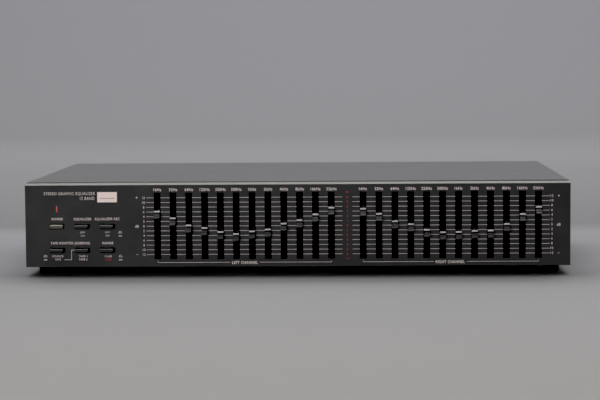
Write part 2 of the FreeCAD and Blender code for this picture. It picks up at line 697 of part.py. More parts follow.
def rear_panel():
    """Flat back plate, pierced for sockets, gland and screws."""
    plate = box("rear_plate", around("0", "2 * (%s - 4 * dims.sheet_gap)" % BASE_SIDE),
                (REAR_INNER, REAR_FACE),
                ("dims.base_height + 2 * dims.sheet_gap", "dims.cover_top - 1.5"))
    start = REAR_INNER + " - 1"
    holes = [(x, z, 4.9) for x, z in socket_places()]
    holes += [(x, z, 1.6) for x, z in block_screw_places()]
    holes += [(x, REAR_SCREW_HEIGHT, 1.6) for x in REAR_SCREW_SIDES]
    holes += [(x, LIP_SCREW_HEIGHT, 1.5) for x in LIP_SCREW_SIDES]
    holes.append(("dims.gland_side", "dims.gland_height", "dims.gland_body + dims.fit_gap"))
    tools = [rod("rear_hole_%d" % index, "y", (x, start, z), radius, 3.0)
             for index, (x, z, radius) in enumerate(holes)]
    export(cut("rear_panel", plate, tools), "rear_panel")


def top_cover():
    """Folded cover: top, two sides and a lip down the back."""
    body = new_body("top_cover")
    start = "-(%s + dims.sheet_gap)" % PANEL_BACK
    fold = new_sketch(body, "cover_section", "XZ_Plane", start)
    outer, inner = "dims.cover_width / 2", COVER_SIDE
    roof = "dims.cover_top - dims.steel"
    outline(fold, (
        ("-" + outer, "dims.cover_hem"), ("-" + inner, "dims.cover_hem"), ("-" + inner, roof),
        (inner, roof), (inner, "dims.cover_hem"), (outer, "dims.cover_hem"),
        (outer, "dims.cover_top"), ("-" + outer, "dims.cover_top"),
    ))
    shell = pad(body, "cover_shell", fold, "dims.cabinet_depth - dims.sheet_gap", reverse=True)
    lip = new_sketch(body, "cover_lip_outline", "XZ_Plane", "-" + REAR_FACE)
    rectangle(lip, around("0", "2 * " + inner), ("dims.cover_top - dims.rear_lip", roof))
    lipped = pad(body, "cover_lip", lip, "dims.steel", reverse=True)
    wide, high = number(outer), number("dims.cover_top")

    def long_top_edge(middle, along):
        corner = abs(abs(middle.x) - wide) < 0.01 and abs(middle.z - high) < 0.01
        return corner and abs(along.y) > 0.99

    dress(body, "Fillet", "cover_bends", lipped, long_top_edge, "dims.cover_bend")
    sides = new_sketch(body, "cover_side_holes", "YZ_Plane", "-dims.cover_width / 2 - 1")
    for y in SIDE_SCREW_BACKS:
        circle(sides, y, SIDE_SCREW_HEIGHT, 2.2)
    pocket(body, "cover_side_screw_holes", sides, "dims.cover_width + 2", reverse=True)
    lip_holes = new_sketch(body, "cover_lip_holes", "XZ_Plane", "-%s - 1" % CASE_BACK)
    for x in LIP_SCREW_SIDES:
        circle(lip_holes, x, LIP_SCREW_HEIGHT, 1.7)
    pocket(body, "cover_lip_screw_holes", lip_holes, "2 + dims.steel", reverse=True)
    export(body, "top_cover")


def feet():
    """Four round feet, each with a recess and a screw hole."""
    stands = []
    for index, (x, y) in enumerate(foot_places()):
        body = new_body("foot_%d" % index)
        half = new_sketch(body, "foot_half_%d" % index, "XZ_Plane")
        outline(half, (
            ("dims.foot_bore", "dims.base_height"), ("dims.foot_bore", "dims.recess_depth"),
            ("dims.foot_recess", "dims.recess_depth"), ("dims.foot_recess", "0"),
            ("dims.foot_tread", "0"), ("dims.tread_edge", "dims.edge_rise"),
            ("dims.foot_shoulder", "dims.shoulder_rise"),
            ("dims.foot_radius", "dims.base_height"),
        ))
        turned = body.newObject("PartDesign::Revolution", "foot_turn_%d" % index)
        turned.Profile = half
        turned.ReferenceAxis = (half, ["V_Axis"])
        turned.Angle = 360
        place(body, x, y)
        stands.append(body)
    export(group("feet", stands), "feet")


# Cross recess of a screw, as shares of its head's radius.
ARM_LENGTH = 1.1
ARM_WIDTH = 0.28


def screw(name, axis, seat, head_radius, head_height, shank_radius, shank_length):
    """Pan head screw seated at a point; the axis points out of its head."""
    inward = axis.strip("-") if axis.startswith("-") else "-" + axis
    head = rod(name + "_head", axis, seat, head_radius, head_height)
    shank = rod(name + "_shank", inward, seat, shank_radius, shank_length)
    blank = fuse(name + "_blank", [head, shank])
    along = "xyz".index(axis.strip("-"))
    outward = -1 if axis.startswith("-") else 1
    recess = "(%s + %s)" % (seat[along], outward * head_height * 0.75)
    arms = []
    for long_way in {0, 1, 2} - {along}:
        spans = [around("(%s)" % spot, head_radius * ARM_WIDTH) for spot in seat]
        spans[long_way] = around("(%s)" % seat[long_way], head_radius * ARM_LENGTH)
        spans[along] = around(recess, head_height * 0.5 + 0.2)
        arms.append(box("%s_arm_%d" % (name, long_way), *spans))
    return cut(name, blank, [fuse(name + "_cross", arms)])


def foot_screws():
    export(group("foot_screws", [
        screw("foot_screw_%d" % index, "-z", (x, y, "dims.recess_depth"), 3.6, 2.0, 1.9, 8.5)
        for index, (x, y) in enumerate(foot_places())]), "foot_screws")


def case_screws():
    """Screws of the cover's sides and lip, the rear panel and the socket blocks."""
    screws = []
    for side, axis in (("-", "-x"), ("", "x")):
        for y in SIDE_SCREW_BACKS:
            seat = (side + "dims.cover_width / 2", y, SIDE_SCREW_HEIGHT)
            screws.append(screw("case_screw_%d" % len(screws), axis, seat, 3.8, 1.8, 1.9, 6.5))
    for x in LIP_SCREW_SIDES:
        seat = (x, CASE_BACK, LIP_SCREW_HEIGHT)
        screws.append(screw("case_screw_%d" % len(screws), "y", seat, 2.8, 1.7, 1.4, 7.0))
    low = [(x, REAR_SCREW_HEIGHT) for x in REAR_SCREW_SIDES]
    for x, z in low + block_screw_places():
        seat = (x, REAR_FACE, z)
        screws.append(screw("case_screw_%d" % len(screws), "y", seat, 2.8, 1.7, 1.4, 7.0))
    export(group("case_screws", screws), "case_screws")


# ------------------------------------------------------------------- rear sockets

INSERT_BACK = "(%s - 6.5)" % REAR_INNER
COLLAR_END = "(%s + 0.5)" % REAR_FACE
SHELL_END = "(%s + dims.socket_reach)" % CASE_BACK


def phono_blocks():
    """Two moulded blocks; each socket is a collar round an insulated centre."""
    depth = (REAR_INNER + " - 12", REAR_INNER)
    slabs, bores, cores, pins = [], [], [], []
    for index, block in enumerate(BLOCKS):
        slabs.append(box("block_slab_%d" % index, around(block, "3 * dims.socket_pitch"), depth,
                         around("dims.socket_height", "2 * dims.socket_pitch")))
    for index, (x, z) in enumerate(socket_places()):
        slabs.append(rod("block_collar_%d" % index, "y", (x, REAR_INNER, z), 4.8,
                         "%s - %s" % (COLLAR_END, REAR_INNER)))
        bores.append(rod("block_bore_%d" % index, "y", (x, INSERT_BACK, z),
                         "dims.socket_neck + dims.fit_gap", 9.0))
        cores.append(rod("block_core_%d" % index, "y", (x, INSERT_BACK + " - 1", z),
                         "dims.socket_bore - dims.fit_gap",
                         "%s - %s + 0.1" % (SHELL_END, INSERT_BACK)))
        pins.append(rod("block_pin_%d" % index, "y", (x, REAR_FACE, z), 1.65, 12.0))
    for index, (x, z) in enumerate(block_screw_places()):
        pins.append(rod("block_screw_hole_%d" % index, "y", (x, REAR_INNER + " - 8", z),
                        1.45, 9.0))
    collared = cut("block_collars", fuse("block_mass", slabs), bores)
    export(cut("phono_blocks", fuse("block_cores", [collared] + cores), pins), "phono_blocks")


def phono_shells():
    """Sockets' metal shells, necked down where they sit in the blocks."""
    shells = []
    for index, (x, z) in enumerate(socket_places()):
        length = "%s - %s" % (SHELL_END, INSERT_BACK)
        neck = rod("shell_neck_%d" % index, "y", (x, INSERT_BACK, z), "dims.socket_neck", length)
        barrel = rod("shell_barrel_%d" % index, "y", (x, COLLAR_END, z), "dims.socket_radius",
                     "%s - %s" % (SHELL_END, COLLAR_END))
        bore = rod("shell_bore_%d" % index, "y", (x, INSERT_BACK, z), "dims.socket_bore", length)
        whole = fuse("shell_blank_%d" % index, [neck, barrel])
        shells.append(cut("phono_shell_%d" % index, whole, [bore]))
    export(group("phono_shells", shells), "phono_shells")


def cord_gland():
    """Snap-in bushing for the supply cord, open right through."""
    body = new_body("cord_gland")
    half = new_sketch(body, "gland_half", "XY_Plane")
    inside = "(%s - 3)" % REAR_INNER
    outline(half, (
        ("dims.gland_bore", inside), ("dims.gland_body + 0.8", inside),
        ("dims.gland_body + 0.8", REAR_INNER + " - 0.05"),
        ("dims.gland_body", REAR_INNER + " - 0.05"),
        ("dims.gland_body", REAR_FACE), ("dims.gland_flange", REAR_FACE),
        ("dims.gland_flange", REAR_FACE + " + 2.5"),
        ("dims.gland_bore + 2", REAR_FACE + " + dims.gland_proud"),
        ("dims.gland_bore", REAR_FACE + " + dims.gland_proud"),
    ))
    turned = body.newObject("PartDesign::Revolution", "gland_turn")
    turned.Profile = half
    turned.ReferenceAxis = (half, ["V_Axis"])
    turned.Angle = 360
    place(body, x="dims.gland_side", z="dims.gland_height")
    export(body, "cord_gland")


# --------------------------------------------------------------- boards and supply

STANDOFFS = [(x, y) for x in (-60.0, 70.0, 200.0) for y in (-85.0, 110.0)]


def main_board():
    plate = box("board_plate", ("-68", "208"), ("-95", "118"), ("dims.board_height", BOARD_TOP))
    holes = [rod("board_hole_%d" % index, "z", (x, y, "dims.board_height - 1"), 1.6, 4.0)
             for index, (x, y) in enumerate(STANDOFFS)]
    export(cut("main_board", plate, holes), "main_board")


def board_fixings():
    """Pillars riveted to the floor, and the screws that hold the board on them."""
    pillars, screws = [], []
    for index, (x, y) in enumerate(STANDOFFS):
        height = "dims.board_height - " + FLOOR_TOP
        post = rod("pillar_post_%d" % index, "z", (x, y, FLOOR_TOP), 3.0, height)
        bore = rod("pillar_bore_%d" % index, "z", (x, y, FLOOR_TOP + " + 1"), 1.5, 9.0)
        pillars.append(cut("pillar_%d" % index, post, [bore]))
        seat = (x, y, BOARD_TOP)
        screws.append(screw("board_screw_%d" % index, "z", seat, 2.75, 1.8, 1.45, 7.5))
    export(group("board_pillars", pillars), "board_pillars")
    export(group("board_screws", screws), "board_screws")


def op_amps():
    """Dual amplifiers in eight-pin cases, two rows of seven."""
    chips = []
    for line, y in enumerate((-66.0, -42.0)):
        for index in range(7):
            x = -40.0 + 38.0 * index
            name = "amp_%d_%d" % (line, index)
            case = box(name + "_case", around(str(x), 9.6), around(str(y), 6.4),
                       (BOARD_TOP + " + 0.5", BOARD_TOP + " + 3.9"))
            legs = [box("%s_legs_%s" % (name, word), around(str(x), 8.0),
                        around(str(y + shift), 0.6), (BOARD_TOP, BOARD_TOP + " + 2"))
                    for word, shift in (("front", -3.4), ("back", 3.4))]
            chips.append(fuse(name, [case] + legs))
    export(group("op_amps", chips), "op_amps")


def filter_capacitors():
    """Two reservoir capacitors and six coupling capacitors standing on the board."""
    cans = [rod("reservoir_%d" % index, "z", (-40.0, y, BOARD_TOP), 9.0, 26.0)
            for index, y in enumerate((40.0, 66.0))]
    cans += [rod("coupling_%d" % index, "z", (20.0 + 26.0 * index, 0.0, BOARD_TOP), 4.0, 12.0)
             for index in range(6)]
    export(group("filter_capacitors", cans), "filter_capacitors")


def regulator_heatsink():
    """Finned heatsink with the two regulators clipped to its face."""
    foot = box("sink_plate", ("-20", "30"), ("88", "91"), (BOARD_TOP, BOARD_TOP + " + 28"))
    fins = [box("sink_fin_%d" % index, (str(-20 + 8 * index), str(-18 + 8 * index)),
                ("90", "104"), (BOARD_TOP, BOARD_TOP + " + 28")) for index in range(7)]
    cases = [box("regulator_%d" % index, around(str(x), 10.0), ("83.5", "88"),
                 (BOARD_TOP + " + 5", BOARD_TOP + " + 20"))
             for index, x in enumerate((-6.0, 16.0))]
    export(group("regulator_heatsink", [fuse("heatsink", [foot] + fins)] + cases),
           "regulator_heatsink")


CORE_WIDTH = 57.0
CORE_HEIGHT = 47.5
CORE_STACK = 24.0
LEG_WIDTH = 19.0
STRAP = 1.0


def transformer():
    """Laminated core in a strap, and the bobbin round its middle leg."""
    sole = "(%s + %s)" % (FLOOR_TOP, STRAP)
    stack = around("dims.coil_back", CORE_STACK)
    blank = box("core_blank", around("dims.coil_side", CORE_WIDTH), stack,
                (sole, "%s + %s" % (sole, CORE_HEIGHT)))
    eyes = [box("core_eye_%d" % index, around("(dims.coil_side + %s)" % shift, LEG_WIDTH / 2),
                around("dims.coil_back", CORE_STACK + 2),
                ("%s + %s" % (sole, LEG_WIDTH / 2), "%s + %s" % (sole, LEG_WIDTH * 2)))
            for index, shift in enumerate((-0.75 * LEG_WIDTH, 0.75 * LEG_WIDTH))]
    laminations = cut("laminations", blank, eyes)
    bridge = box("strap_sole", around("dims.coil_side", 80.0), stack, (FLOOR_TOP, sole))
    holes = [rod("strap_hole_%d" % index, "z", (x, y, FLOOR_TOP + " - 1"), 2.1, 3.0)
             for index, (x, y) in enumerate(transformer_screw_places())]
    export(group("transformer_core", [laminations, cut("strap", bridge, holes)]),
           "transformer_core")
    window = ("%s + %s" % (sole, LEG_WIDTH / 2 + 0.2), "%s + %s" % (sole, LEG_WIDTH * 2 - 0.2))
    winding = box("winding", around("dims.coil_side", LEG_WIDTH * 2 - 0.4),
                  around("dims.coil_back", 42.0), window)
    leg = box("leg_gap", around("dims.coil_side", LEG_WIDTH + 0.4),
              around("dims.coil_back", CORE_STACK + 0.4),
              (window[0] + " - 1", window[1] + " + 1"))
    export(cut("transformer_coil", winding, [leg]), "transformer_coil")
    export(group("transformer_screws", [
        screw("transformer_screw_%d" % index, "z", (x, y, sole), 3.8, 2.2, 1.9, 4.0)
        for index, (x, y) in enumerate(transformer_screw_places())]), "transformer_screws")


RIBBON_THICK = 0.9
RIBBON_WIDTH = 36.0
RIBBON_BEND = 5.0
RIBBON_TOP = 50.0
RIBBON_END = -86.0
RIBBON_SIDES = (-35.0, 120.0)


def ribbon_cables():
    """Flat cables from the slider board down to the main board, with round bends."""
    behind = number(CAN_BACK + " + dims.board_thick")
    top = number(BOARD_TOP)
    route = [(behind, RIBBON_TOP), (behind + 12.5, RIBBON_TOP), (behind + 12.5, top + 12.0),
             (RIBBON_END, top + 12.0), (RIBBON_END, top)]
    cables = []
    for middle in RIBBON_SIDES:
        left = middle - RIBBON_WIDTH / 2
        points = [Vector(left, y, z) for y, z in route]
        pieces, here = [], points[0]
        for before, corner, after in zip(points, points[1:], points[2:]):
            arrive = corner + (before - corner).normalize() * RIBBON_BEND
            leave = corner + (after - corner).normalize() * RIBBON_BEND
            centre = arrive + leave - corner
            middle_point = centre + (corner - centre).normalize() * RIBBON_BEND
            pieces.append(Part.LineSegment(here, arrive).toShape())
            pieces.append(Part.Arc(arrive, middle_point, leave).toShape())
            here = leave
        pieces.append(Part.LineSegment(here, points[-1]).toShape())
        half = RIBBON_THICK / 2
        right = left + RIBBON_WIDTH
        corners = [Vector(x, behind, RIBBON_TOP + rise)
                   for x, rise in ((left, -half), (right, -half), (right, half), (left, half))]
        section = Part.makePolygon(corners + corners[:1])
        cables.append(Part.Wire(pieces).makePipeShell([section], True, False))
    feature = doc.addObject("Part::Feature", "ribbon_cables")
    feature.Shape = Part.makeCompound(cables)
    export(feature, "ribbon_cables")


# ------------------------------------------------------------------------ assembly

front_panel()
panel_nuts()
name_plate()
indicator_lamp()
dust_felt()
sub_panel()
slide_controls()
slider_board()
switches()
for slider_name, slider_x, slider_setting in BANDS:
    slider(slider_name, slider_x, slider_setting)
for button_row in BUTTONS:
    button(*button_row)
chassis_base()
rear_panel()
top_cover()
feet()
foot_screws()
case_screws()
phono_blocks()
phono_shells()
cord_gland()
main_board()
board_fixings()
op_amps()
filter_capacitors()
regulator_heatsink()
transformer()
ribbon_cables()

doc.recompute()
faults = [thing.Label for thing in doc.Objects if set(thing.State) & {"Invalid", "Error"}]
faults += [part.Label for part in PARTS if part.Shape.isNull() or not part.Shape.isValid()]
if faults:
    raise RuntimeError("failed objects: %s" % ", ".join(faults))

os.makedirs("parts", exist_ok=True)
for part in PARTS:
    part.Shape.exportStep("parts/%s.step" % part.Label)
    print("%-24s solids %3d  volume %12.1f" % (part.Label, len(part.Shape.Solids), part.Shape.Volume))
print("%d sub-parts" % len(PARTS))
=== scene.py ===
"""Looks of the graphic equalizer: finishes, knobs, caps, feet, sockets and print round its frame."""

import json
import math

import bmesh
import bpy
from mathutils import Matrix, Vector


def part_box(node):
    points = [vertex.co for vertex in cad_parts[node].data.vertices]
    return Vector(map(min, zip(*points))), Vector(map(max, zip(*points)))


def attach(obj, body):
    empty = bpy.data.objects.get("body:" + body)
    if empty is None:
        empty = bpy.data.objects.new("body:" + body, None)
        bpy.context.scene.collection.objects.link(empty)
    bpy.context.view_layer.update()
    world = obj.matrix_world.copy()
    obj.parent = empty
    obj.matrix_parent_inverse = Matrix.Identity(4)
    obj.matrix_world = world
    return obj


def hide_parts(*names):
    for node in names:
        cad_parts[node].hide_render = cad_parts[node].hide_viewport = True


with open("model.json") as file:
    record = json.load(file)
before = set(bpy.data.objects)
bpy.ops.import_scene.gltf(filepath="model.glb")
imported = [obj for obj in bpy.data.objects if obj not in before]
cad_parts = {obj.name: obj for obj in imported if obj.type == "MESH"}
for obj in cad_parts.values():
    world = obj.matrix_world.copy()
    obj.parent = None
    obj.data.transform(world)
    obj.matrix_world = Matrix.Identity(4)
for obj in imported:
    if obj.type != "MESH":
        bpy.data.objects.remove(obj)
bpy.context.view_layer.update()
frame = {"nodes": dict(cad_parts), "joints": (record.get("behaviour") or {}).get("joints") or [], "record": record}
nodes = frame["nodes"]
scene = bpy.context.scene
MM = 0.001

CHANNELS = ("left", "right")
BANDS = ("16hz", "32hz", "64hz", "125hz", "250hz", "500hz",
         "1khz", "2khz", "4khz", "8khz", "16khz", "32khz")
BAND_WORDS = [band.replace("hz", "Hz") for band in BANDS]
BUTTONS = ("power", "equalizer", "equalizer_rec", "tape_monitor", "tape_select", "range")


# ------------------------------------------------------------------ places in the frame
def middle(node):
    low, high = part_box(node)
    return (low + high) / 2


def span(node):
    low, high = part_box(node)
    return high - low


def band_side(channel, index):
    """X of a slider."""
    return middle("%s_%s_slider" % (channel, BANDS[index])).x


panel_low, panel_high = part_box("front_panel")
FACE = panel_low.y
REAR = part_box("rear_panel")[1].y
first_slide = [joint for joint in frame["joints"] if joint["child"] == "left_16hz_slider"][0]
ZERO = middle("left_16hz_slider").z + sum(first_slide["range_m"]) / 2
HALF_TRAVEL = (first_slide["range_m"][1] - first_slide["range_m"][0]) / 2
CENTRE = (band_side("left", 11) + band_side("right", 0)) / 2


# ------------------------------------------------------------------ finishes
class Finish:
    """A procedural material: drifting colour, a fine grain in roughness and relief, lighter edges (wear, and on
    the cover also painted highlight).
    """

    def __init__(self, name, colour, rough, metallic=0.0, grain=0.3, stretch=(1, 1, 1), depth=0.006,
                 drift=0.12, spread=0.06, edge_wear_and_highlight=None, edge=0.25, specular=0.5, coat=0.0, sheen=0.0):
        self.material = bpy.data.materials.new(name)
        self.material.use_nodes = True
        self.tree = self.material.node_tree
        self.shader = self.tree.nodes["Principled BSDF"]
        self.shader.inputs["Specular IOR Level"].default_value = specular
        self.shader.inputs["Coat Weight"].default_value = coat
        self.shader.inputs["Coat Roughness"].default_value = 0.15
        self.shader.inputs["Sheen Weight"].default_value = sheen
        self.shader.inputs["Sheen Roughness"].default_value = 0.6
        self.place = self.node("ShaderNodeTexCoord").outputs["Object"]
        fine = self.noise(grain, stretch)
        drifting = self.level(self.noise(22), 0.3, 0.7)
        self.colour = self.mix(drifting, scaled(colour, 1 - drift), scaled(colour, 1 + drift))
        uneven = self.math("ADD", fine, self.math("MULTIPLY", drifting, 0.4))
        self.rough = self.level(uneven, 0.35, 1.05, rough - spread, rough + spread)
        self.metallic = metallic
        self.relief = [(fine, depth)]
        self.round = self.node("ShaderNodeBevel", {"Radius": edge * MM}, samples=4)
        if edge_wear_and_highlight:
            flat = self.node("ShaderNodeNewGeometry").outputs["Normal"]
            turn = self.node("ShaderNodeVectorMath", {0: self.round.outputs[0], 1: flat},
                             operation="DOT_PRODUCT").outputs["Value"]
            corner = self.level(turn, 0.995, 0.9)
            edge_wear_and_highlight_share = self.math("MULTIPLY", corner, self.level(fine, 0.45, 0.65))
            self.cover(self.math("MULTIPLY", edge_wear_and_highlight_share, 0.6), edge_wear_and_highlight, rough)

    def node(self, kind, inputs=None, **settings):
        made = self.tree.nodes.new(kind)
        for key, value in settings.items():
            setattr(made, key, value)
        for key, value in (inputs or {}).items():
            self.join(value, made.inputs[key])
        return made

    def join(self, value, socket):
        if isinstance(value, bpy.types.NodeSocket):
            self.tree.links.new(value, socket)
        elif socket.type == "RGBA":
            socket.default_value = (*value, 1.0)
        else:
            socket.default_value = value

    def math(self, operation, first, second=0.0):
        return self.node("ShaderNodeMath", {0: first, 1: second}, operation=operation).outputs[0]

    def level(self, value, low, high, to_low=0.0, to_high=1.0):
        return self.node("ShaderNodeMapRange", {"Value": value, "From Min": low, "From Max": high,
                                                "To Min": to_low, "To Max": to_high}).outputs[0]

    def mix(self, share, first, second):
        return self.node("ShaderNodeMix", {0: share, 6: first, 7: second}, data_type="RGBA").outputs[2]

    def noise(self, size, stretch=(1, 1, 1), detail=4.0):
        """Cloudy pattern with features of that size in millimetres, longer along an axis by stretch."""
        squeeze = tuple(1 / (size * MM * part) for part in stretch)
        placed = self.node("ShaderNodeMapping", {"Vector": self.place, "Scale": squeeze}).outputs[0]
        pattern = self.node("ShaderNodeTexNoise", {"Vector": placed, "Scale": 1.0, "Detail": detail})
        return pattern.outputs["Fac"]

    def stripes(self, axis, pitch, warp=0.0):
        """Bands across an axis, one to each pitch in millimetres."""
        return self.node("ShaderNodeTexWave", {"Vector": self.place, "Scale": 0.314159 / (pitch * MM),
                                               "Distortion": warp, "Detail": 2.0},
                         wave_type="BANDS", bands_direction=axis).outputs["Fac"]

    def along(self, axis):
        return self.node("ShaderNodeSeparateXYZ", {0: self.place}).outputs[axis]

    def beyond(self, axis, limit):
        return self.math("GREATER_THAN", self.along(axis), limit)

    def cover(self, mask, colour, rough=None, metallic=None):
        """A second look where the mask is 1."""
        self.colour = self.mix(mask, self.colour, colour)
        if rough is not None:
            self.rough = self.blend(mask, self.rough, rough)
        if metallic is not None:
            self.metallic = self.blend(mask, self.metallic, metallic)

    def blend(self, mask, first, second):
        return self.node("ShaderNodeMix", {0: mask, 2: first, 3: second}, data_type="FLOAT").outputs[0]

    def done(self):
        normal = self.round.outputs[0]
        for height, depth in self.relief:
            normal = self.node("ShaderNodeBump", {"Height": height, "Distance": depth * MM,
                                                  "Strength": 1.0, "Normal": normal}).outputs[0]
        self.join(self.colour, self.shader.inputs["Base Color"])
        self.join(self.rough, self.shader.inputs["Roughness"])
        self.join(self.metallic, self.shader.inputs["Metallic"])
        self.join(normal, self.shader.inputs["Normal"])
        return self.material


def scaled(colour, share):
    return tuple(min(1.0, part * share) for part in colour)


SLOT_LOOKS = {
    "panel_black": dict(colour=(0.0131, 0.0125, 0.0137), rough=0.58, specular=0.36, grain=0.12,
                        stretch=(30, 1, 1), depth=0.0012, drift=0.06, edge_wear_and_highlight=(0.10, 0.10, 0.10), edge=0.2),
    "plated_steel": dict(colour=(0.58, 0.56, 0.49), rough=0.3, metallic=1.0, grain=0.5, depth=0.003,
                         drift=0.14, spread=0.1),
    "name_plate": dict(colour=(0.86, 0.68, 0.63), rough=0.4, grain=0.08,
                       stretch=(40, 1, 1), depth=0.0015, drift=0.04, edge=0.15),
    "lens_red": dict(colour=(0.45, 0.039, 0.036), rough=0.3, grain=0.4, depth=0.004, drift=0.15,
                     edge=0.15, specular=0.2),
    "felt_black": dict(colour=(0.0065, 0.0065, 0.0065), rough=0.95, grain=0.15, stretch=(3, 1, 1),
                       depth=0.06, drift=0.2, sheen=0.02, specular=0.05),
    "case_black": dict(colour=(0.008, 0.008, 0.0085), rough=0.6, specular=0.2, grain=0.4, depth=0.005,
                       drift=0.15),
    "track_carbon": dict(colour=(0.007, 0.007, 0.007), rough=0.7, specular=0.15, grain=0.3,
                         stretch=(1, 1, 8), depth=0.006, drift=0.18),
    "board": dict(colour=(0.34, 0.23, 0.09), rough=0.5, grain=0.4, stretch=(5, 1, 1), depth=0.006,
                  drift=0.15),
    "switch_plastic": dict(colour=(0.045, 0.045, 0.047), rough=0.5, grain=0.25, depth=0.008),
    "base_steel": dict(colour=(0.050, 0.050, 0.051), rough=0.46, grain=0.45, depth=0.012, drift=0.1,
                       edge_wear_and_highlight=(0.22, 0.21, 0.20), edge=0.3),
    "rear_black": dict(colour=(0.040, 0.040, 0.041), rough=0.5, grain=0.35, depth=0.014, drift=0.1,
                       edge_wear_and_highlight=(0.18, 0.18, 0.17), edge=0.25),
    # the cover's paint is lighter than its black steel would be: partly painted reflection of the backdrop at the
    # grazing view
    "cover_grey": dict(colour=(0.072, 0.072, 0.0755), rough=0.44, grain=0.4, depth=0.018, drift=0.08,
                       # lighter edges: wear, and painted highlight along the cover's front edge where the light
                       # catches it
                       edge_wear_and_highlight=(0.15, 0.15, 0.15), edge=0.4),
    # black plastic, darkened further as painted shade so the feet merge with the shadow under the unit
    "foot_plastic": dict(colour=(0.008, 0.008, 0.008), rough=0.6, grain=0.2, depth=0.01, specular=0.2),
    "black_screw": dict(colour=(0.035, 0.034, 0.033), rough=0.34, metallic=0.6, grain=0.3,
                        depth=0.004, edge_wear_and_highlight=(0.30, 0.29, 0.27), edge=0.15),
    "socket_plastic": dict(colour=(0.025, 0.025, 0.026), rough=0.48, grain=0.25, depth=0.008),
    "socket_metal": dict(colour=(0.70, 0.68, 0.62), rough=0.2, metallic=1.0, grain=0.25,
                         depth=0.0015, drift=0.08),
    "gland_rubber": dict(colour=(0.018, 0.018, 0.018), rough=0.62, grain=0.3, depth=0.012,
                         drift=0.18, edge=0.4),
    "chip_black": dict(colour=(0.022, 0.022, 0.024), rough=0.55, grain=0.12, depth=0.008),
    "capacitor_sleeve": dict(colour=(0.022, 0.030, 0.075), rough=0.28, grain=0.6, depth=0.008,
                             coat=0.2, edge=0.6),
    "heatsink": dict(colour=(0.42, 0.42, 0.43), rough=0.36, metallic=1.0, grain=0.12,
                     stretch=(1, 1, 40), depth=0.002),
    "core_steel": dict(colour=(0.20, 0.18, 0.16), rough=0.45, metallic=0.8, grain=0.6, depth=0.006,
                       drift=0.25),
    "coil_tape": dict(colour=(0.60, 0.46, 0.09), rough=0.4, grain=1.2, depth=0.01, coat=0.2),
    "ribbon_grey": dict(colour=(0.36, 0.36, 0.37), rough=0.5, grain=0.3, depth=0.006),
    "knob_plastic": dict(colour=(0.019, 0.019, 0.020), rough=0.42, grain=0.12, depth=0.003,
                         drift=0.08, edge=0.08, specular=0.35),
    "button_black": dict(colour=(0.020, 0.020, 0.0205), rough=0.52, grain=0.14, depth=0.003,
                         drift=0.08, edge=0.08, specular=0.22),
    "button_olive": dict(colour=(0.106, 0.104, 0.084), rough=0.52, grain=0.14, depth=0.003,
                         drift=0.08, edge=0.08, specular=0.22),
}


def bare_bevel(finish):
    """Machined bare metal on the sloping edge along the panel's top."""
    rise = max(vertex.co.z - vertex.co.y for vertex in nodes["front_panel"].data.vertices)
    slope = finish.math("SUBTRACT", finish.along("Z"), finish.along("Y"))
    streaks = finish.noise(0.05, (60, 1, 1))
    bare = finish.mix(streaks, (0.29, 0.285, 0.272), (0.38, 0.374, 0.357))
    finish.cover(finish.math("GREATER_THAN", slope, rise - 0.06 * MM), bare, 0.42, 0.7)


def lens_and_block(finish):
    """The lens is red in front and glows a little; its block and leads are grey behind."""
    behind = finish.beyond("Y", panel_high.y - 5 * MM)
    finish.cover(behind, (0.20, 0.19, 0.18), 0.4, 0.3)
    lit = finish.mix(behind, (0.75, 0.05, 0.04), (0, 0, 0))
    finish.join(lit, finish.shader.inputs["Emission Color"])
    finish.shader.inputs["Emission Strength"].default_value = 0.06


def copper_tracks(finish):
    """Resist over winding tracks, and bright solder dots."""
    tracks = finish.level(finish.stripes("X", 2.5, 3.0), 0.55, 0.6)
    finish.cover(finish.math("MULTIPLY", tracks, 0.5), (0.16, 0.17, 0.05))
    cells = finish.node("ShaderNodeTexVoronoi", {"Vector": finish.place, "Scale": 400.0})
    finish.cover(finish.level(cells.outputs["Distance"], 0.16, 0.12), (0.62, 0.61, 0.58), 0.3, 0.9)
    finish.relief.append((tracks, 0.03))


def laminations(finish):
    sheets = finish.stripes("Y", 0.5)
    finish.cover(finish.math("MULTIPLY", sheets, 0.5), (0.06, 0.05, 0.04))
    finish.relief.append((sheets, 0.08))


def tape_turns(finish):
    turns = finish.stripes("Z", 9.0, 0.6)
    finish.cover(finish.level(turns, 0.1, 0.0), (0.30, 0.21, 0.03))
    finish.relief.append((turns, 0.06))


def ribbon_wires(finish):
    wires = finish.stripes("X", 1.27)
    finish.cover(finish.level(wires, 0.25, 0.0), (0.20, 0.20, 0.21))
    finish.relief.append((wires, 0.25))


def sleeve_stripe(finish):
    """Pale minus stripe down one side of each can."""
    marks = finish.stripes("X", 14.0)
    finish.cover(finish.level(marks, 0.9, 0.92), (0.55, 0.56, 0.58), 0.35)


def turned_rings(finish):
    rings = finish.stripes("Y", 0.35)
    finish.relief.append((rings, 0.004))


def orange_peel(finish):
    """Sprayed paint's long soft unevenness over its texture."""
    finish.relief.append((finish.noise(2.2), 0.03))


EXTRAS = {
    "panel_black": bare_bevel, "lens_red": lens_and_block, "board": copper_tracks,
    "core_steel": laminations, "coil_tape": tape_turns, "ribbon_grey": ribbon_wires,
    "capacitor_sleeve": sleeve_stripe, "socket_metal": turned_rings, "cover_grey": orange_peel,
    "rear_black": orange_peel, "base_steel": orange_peel,
}


def look(name, extra=None, **settings):
    finish = Finish(name, **settings)
    if extra:
        extra(finish)
    return finish.done()


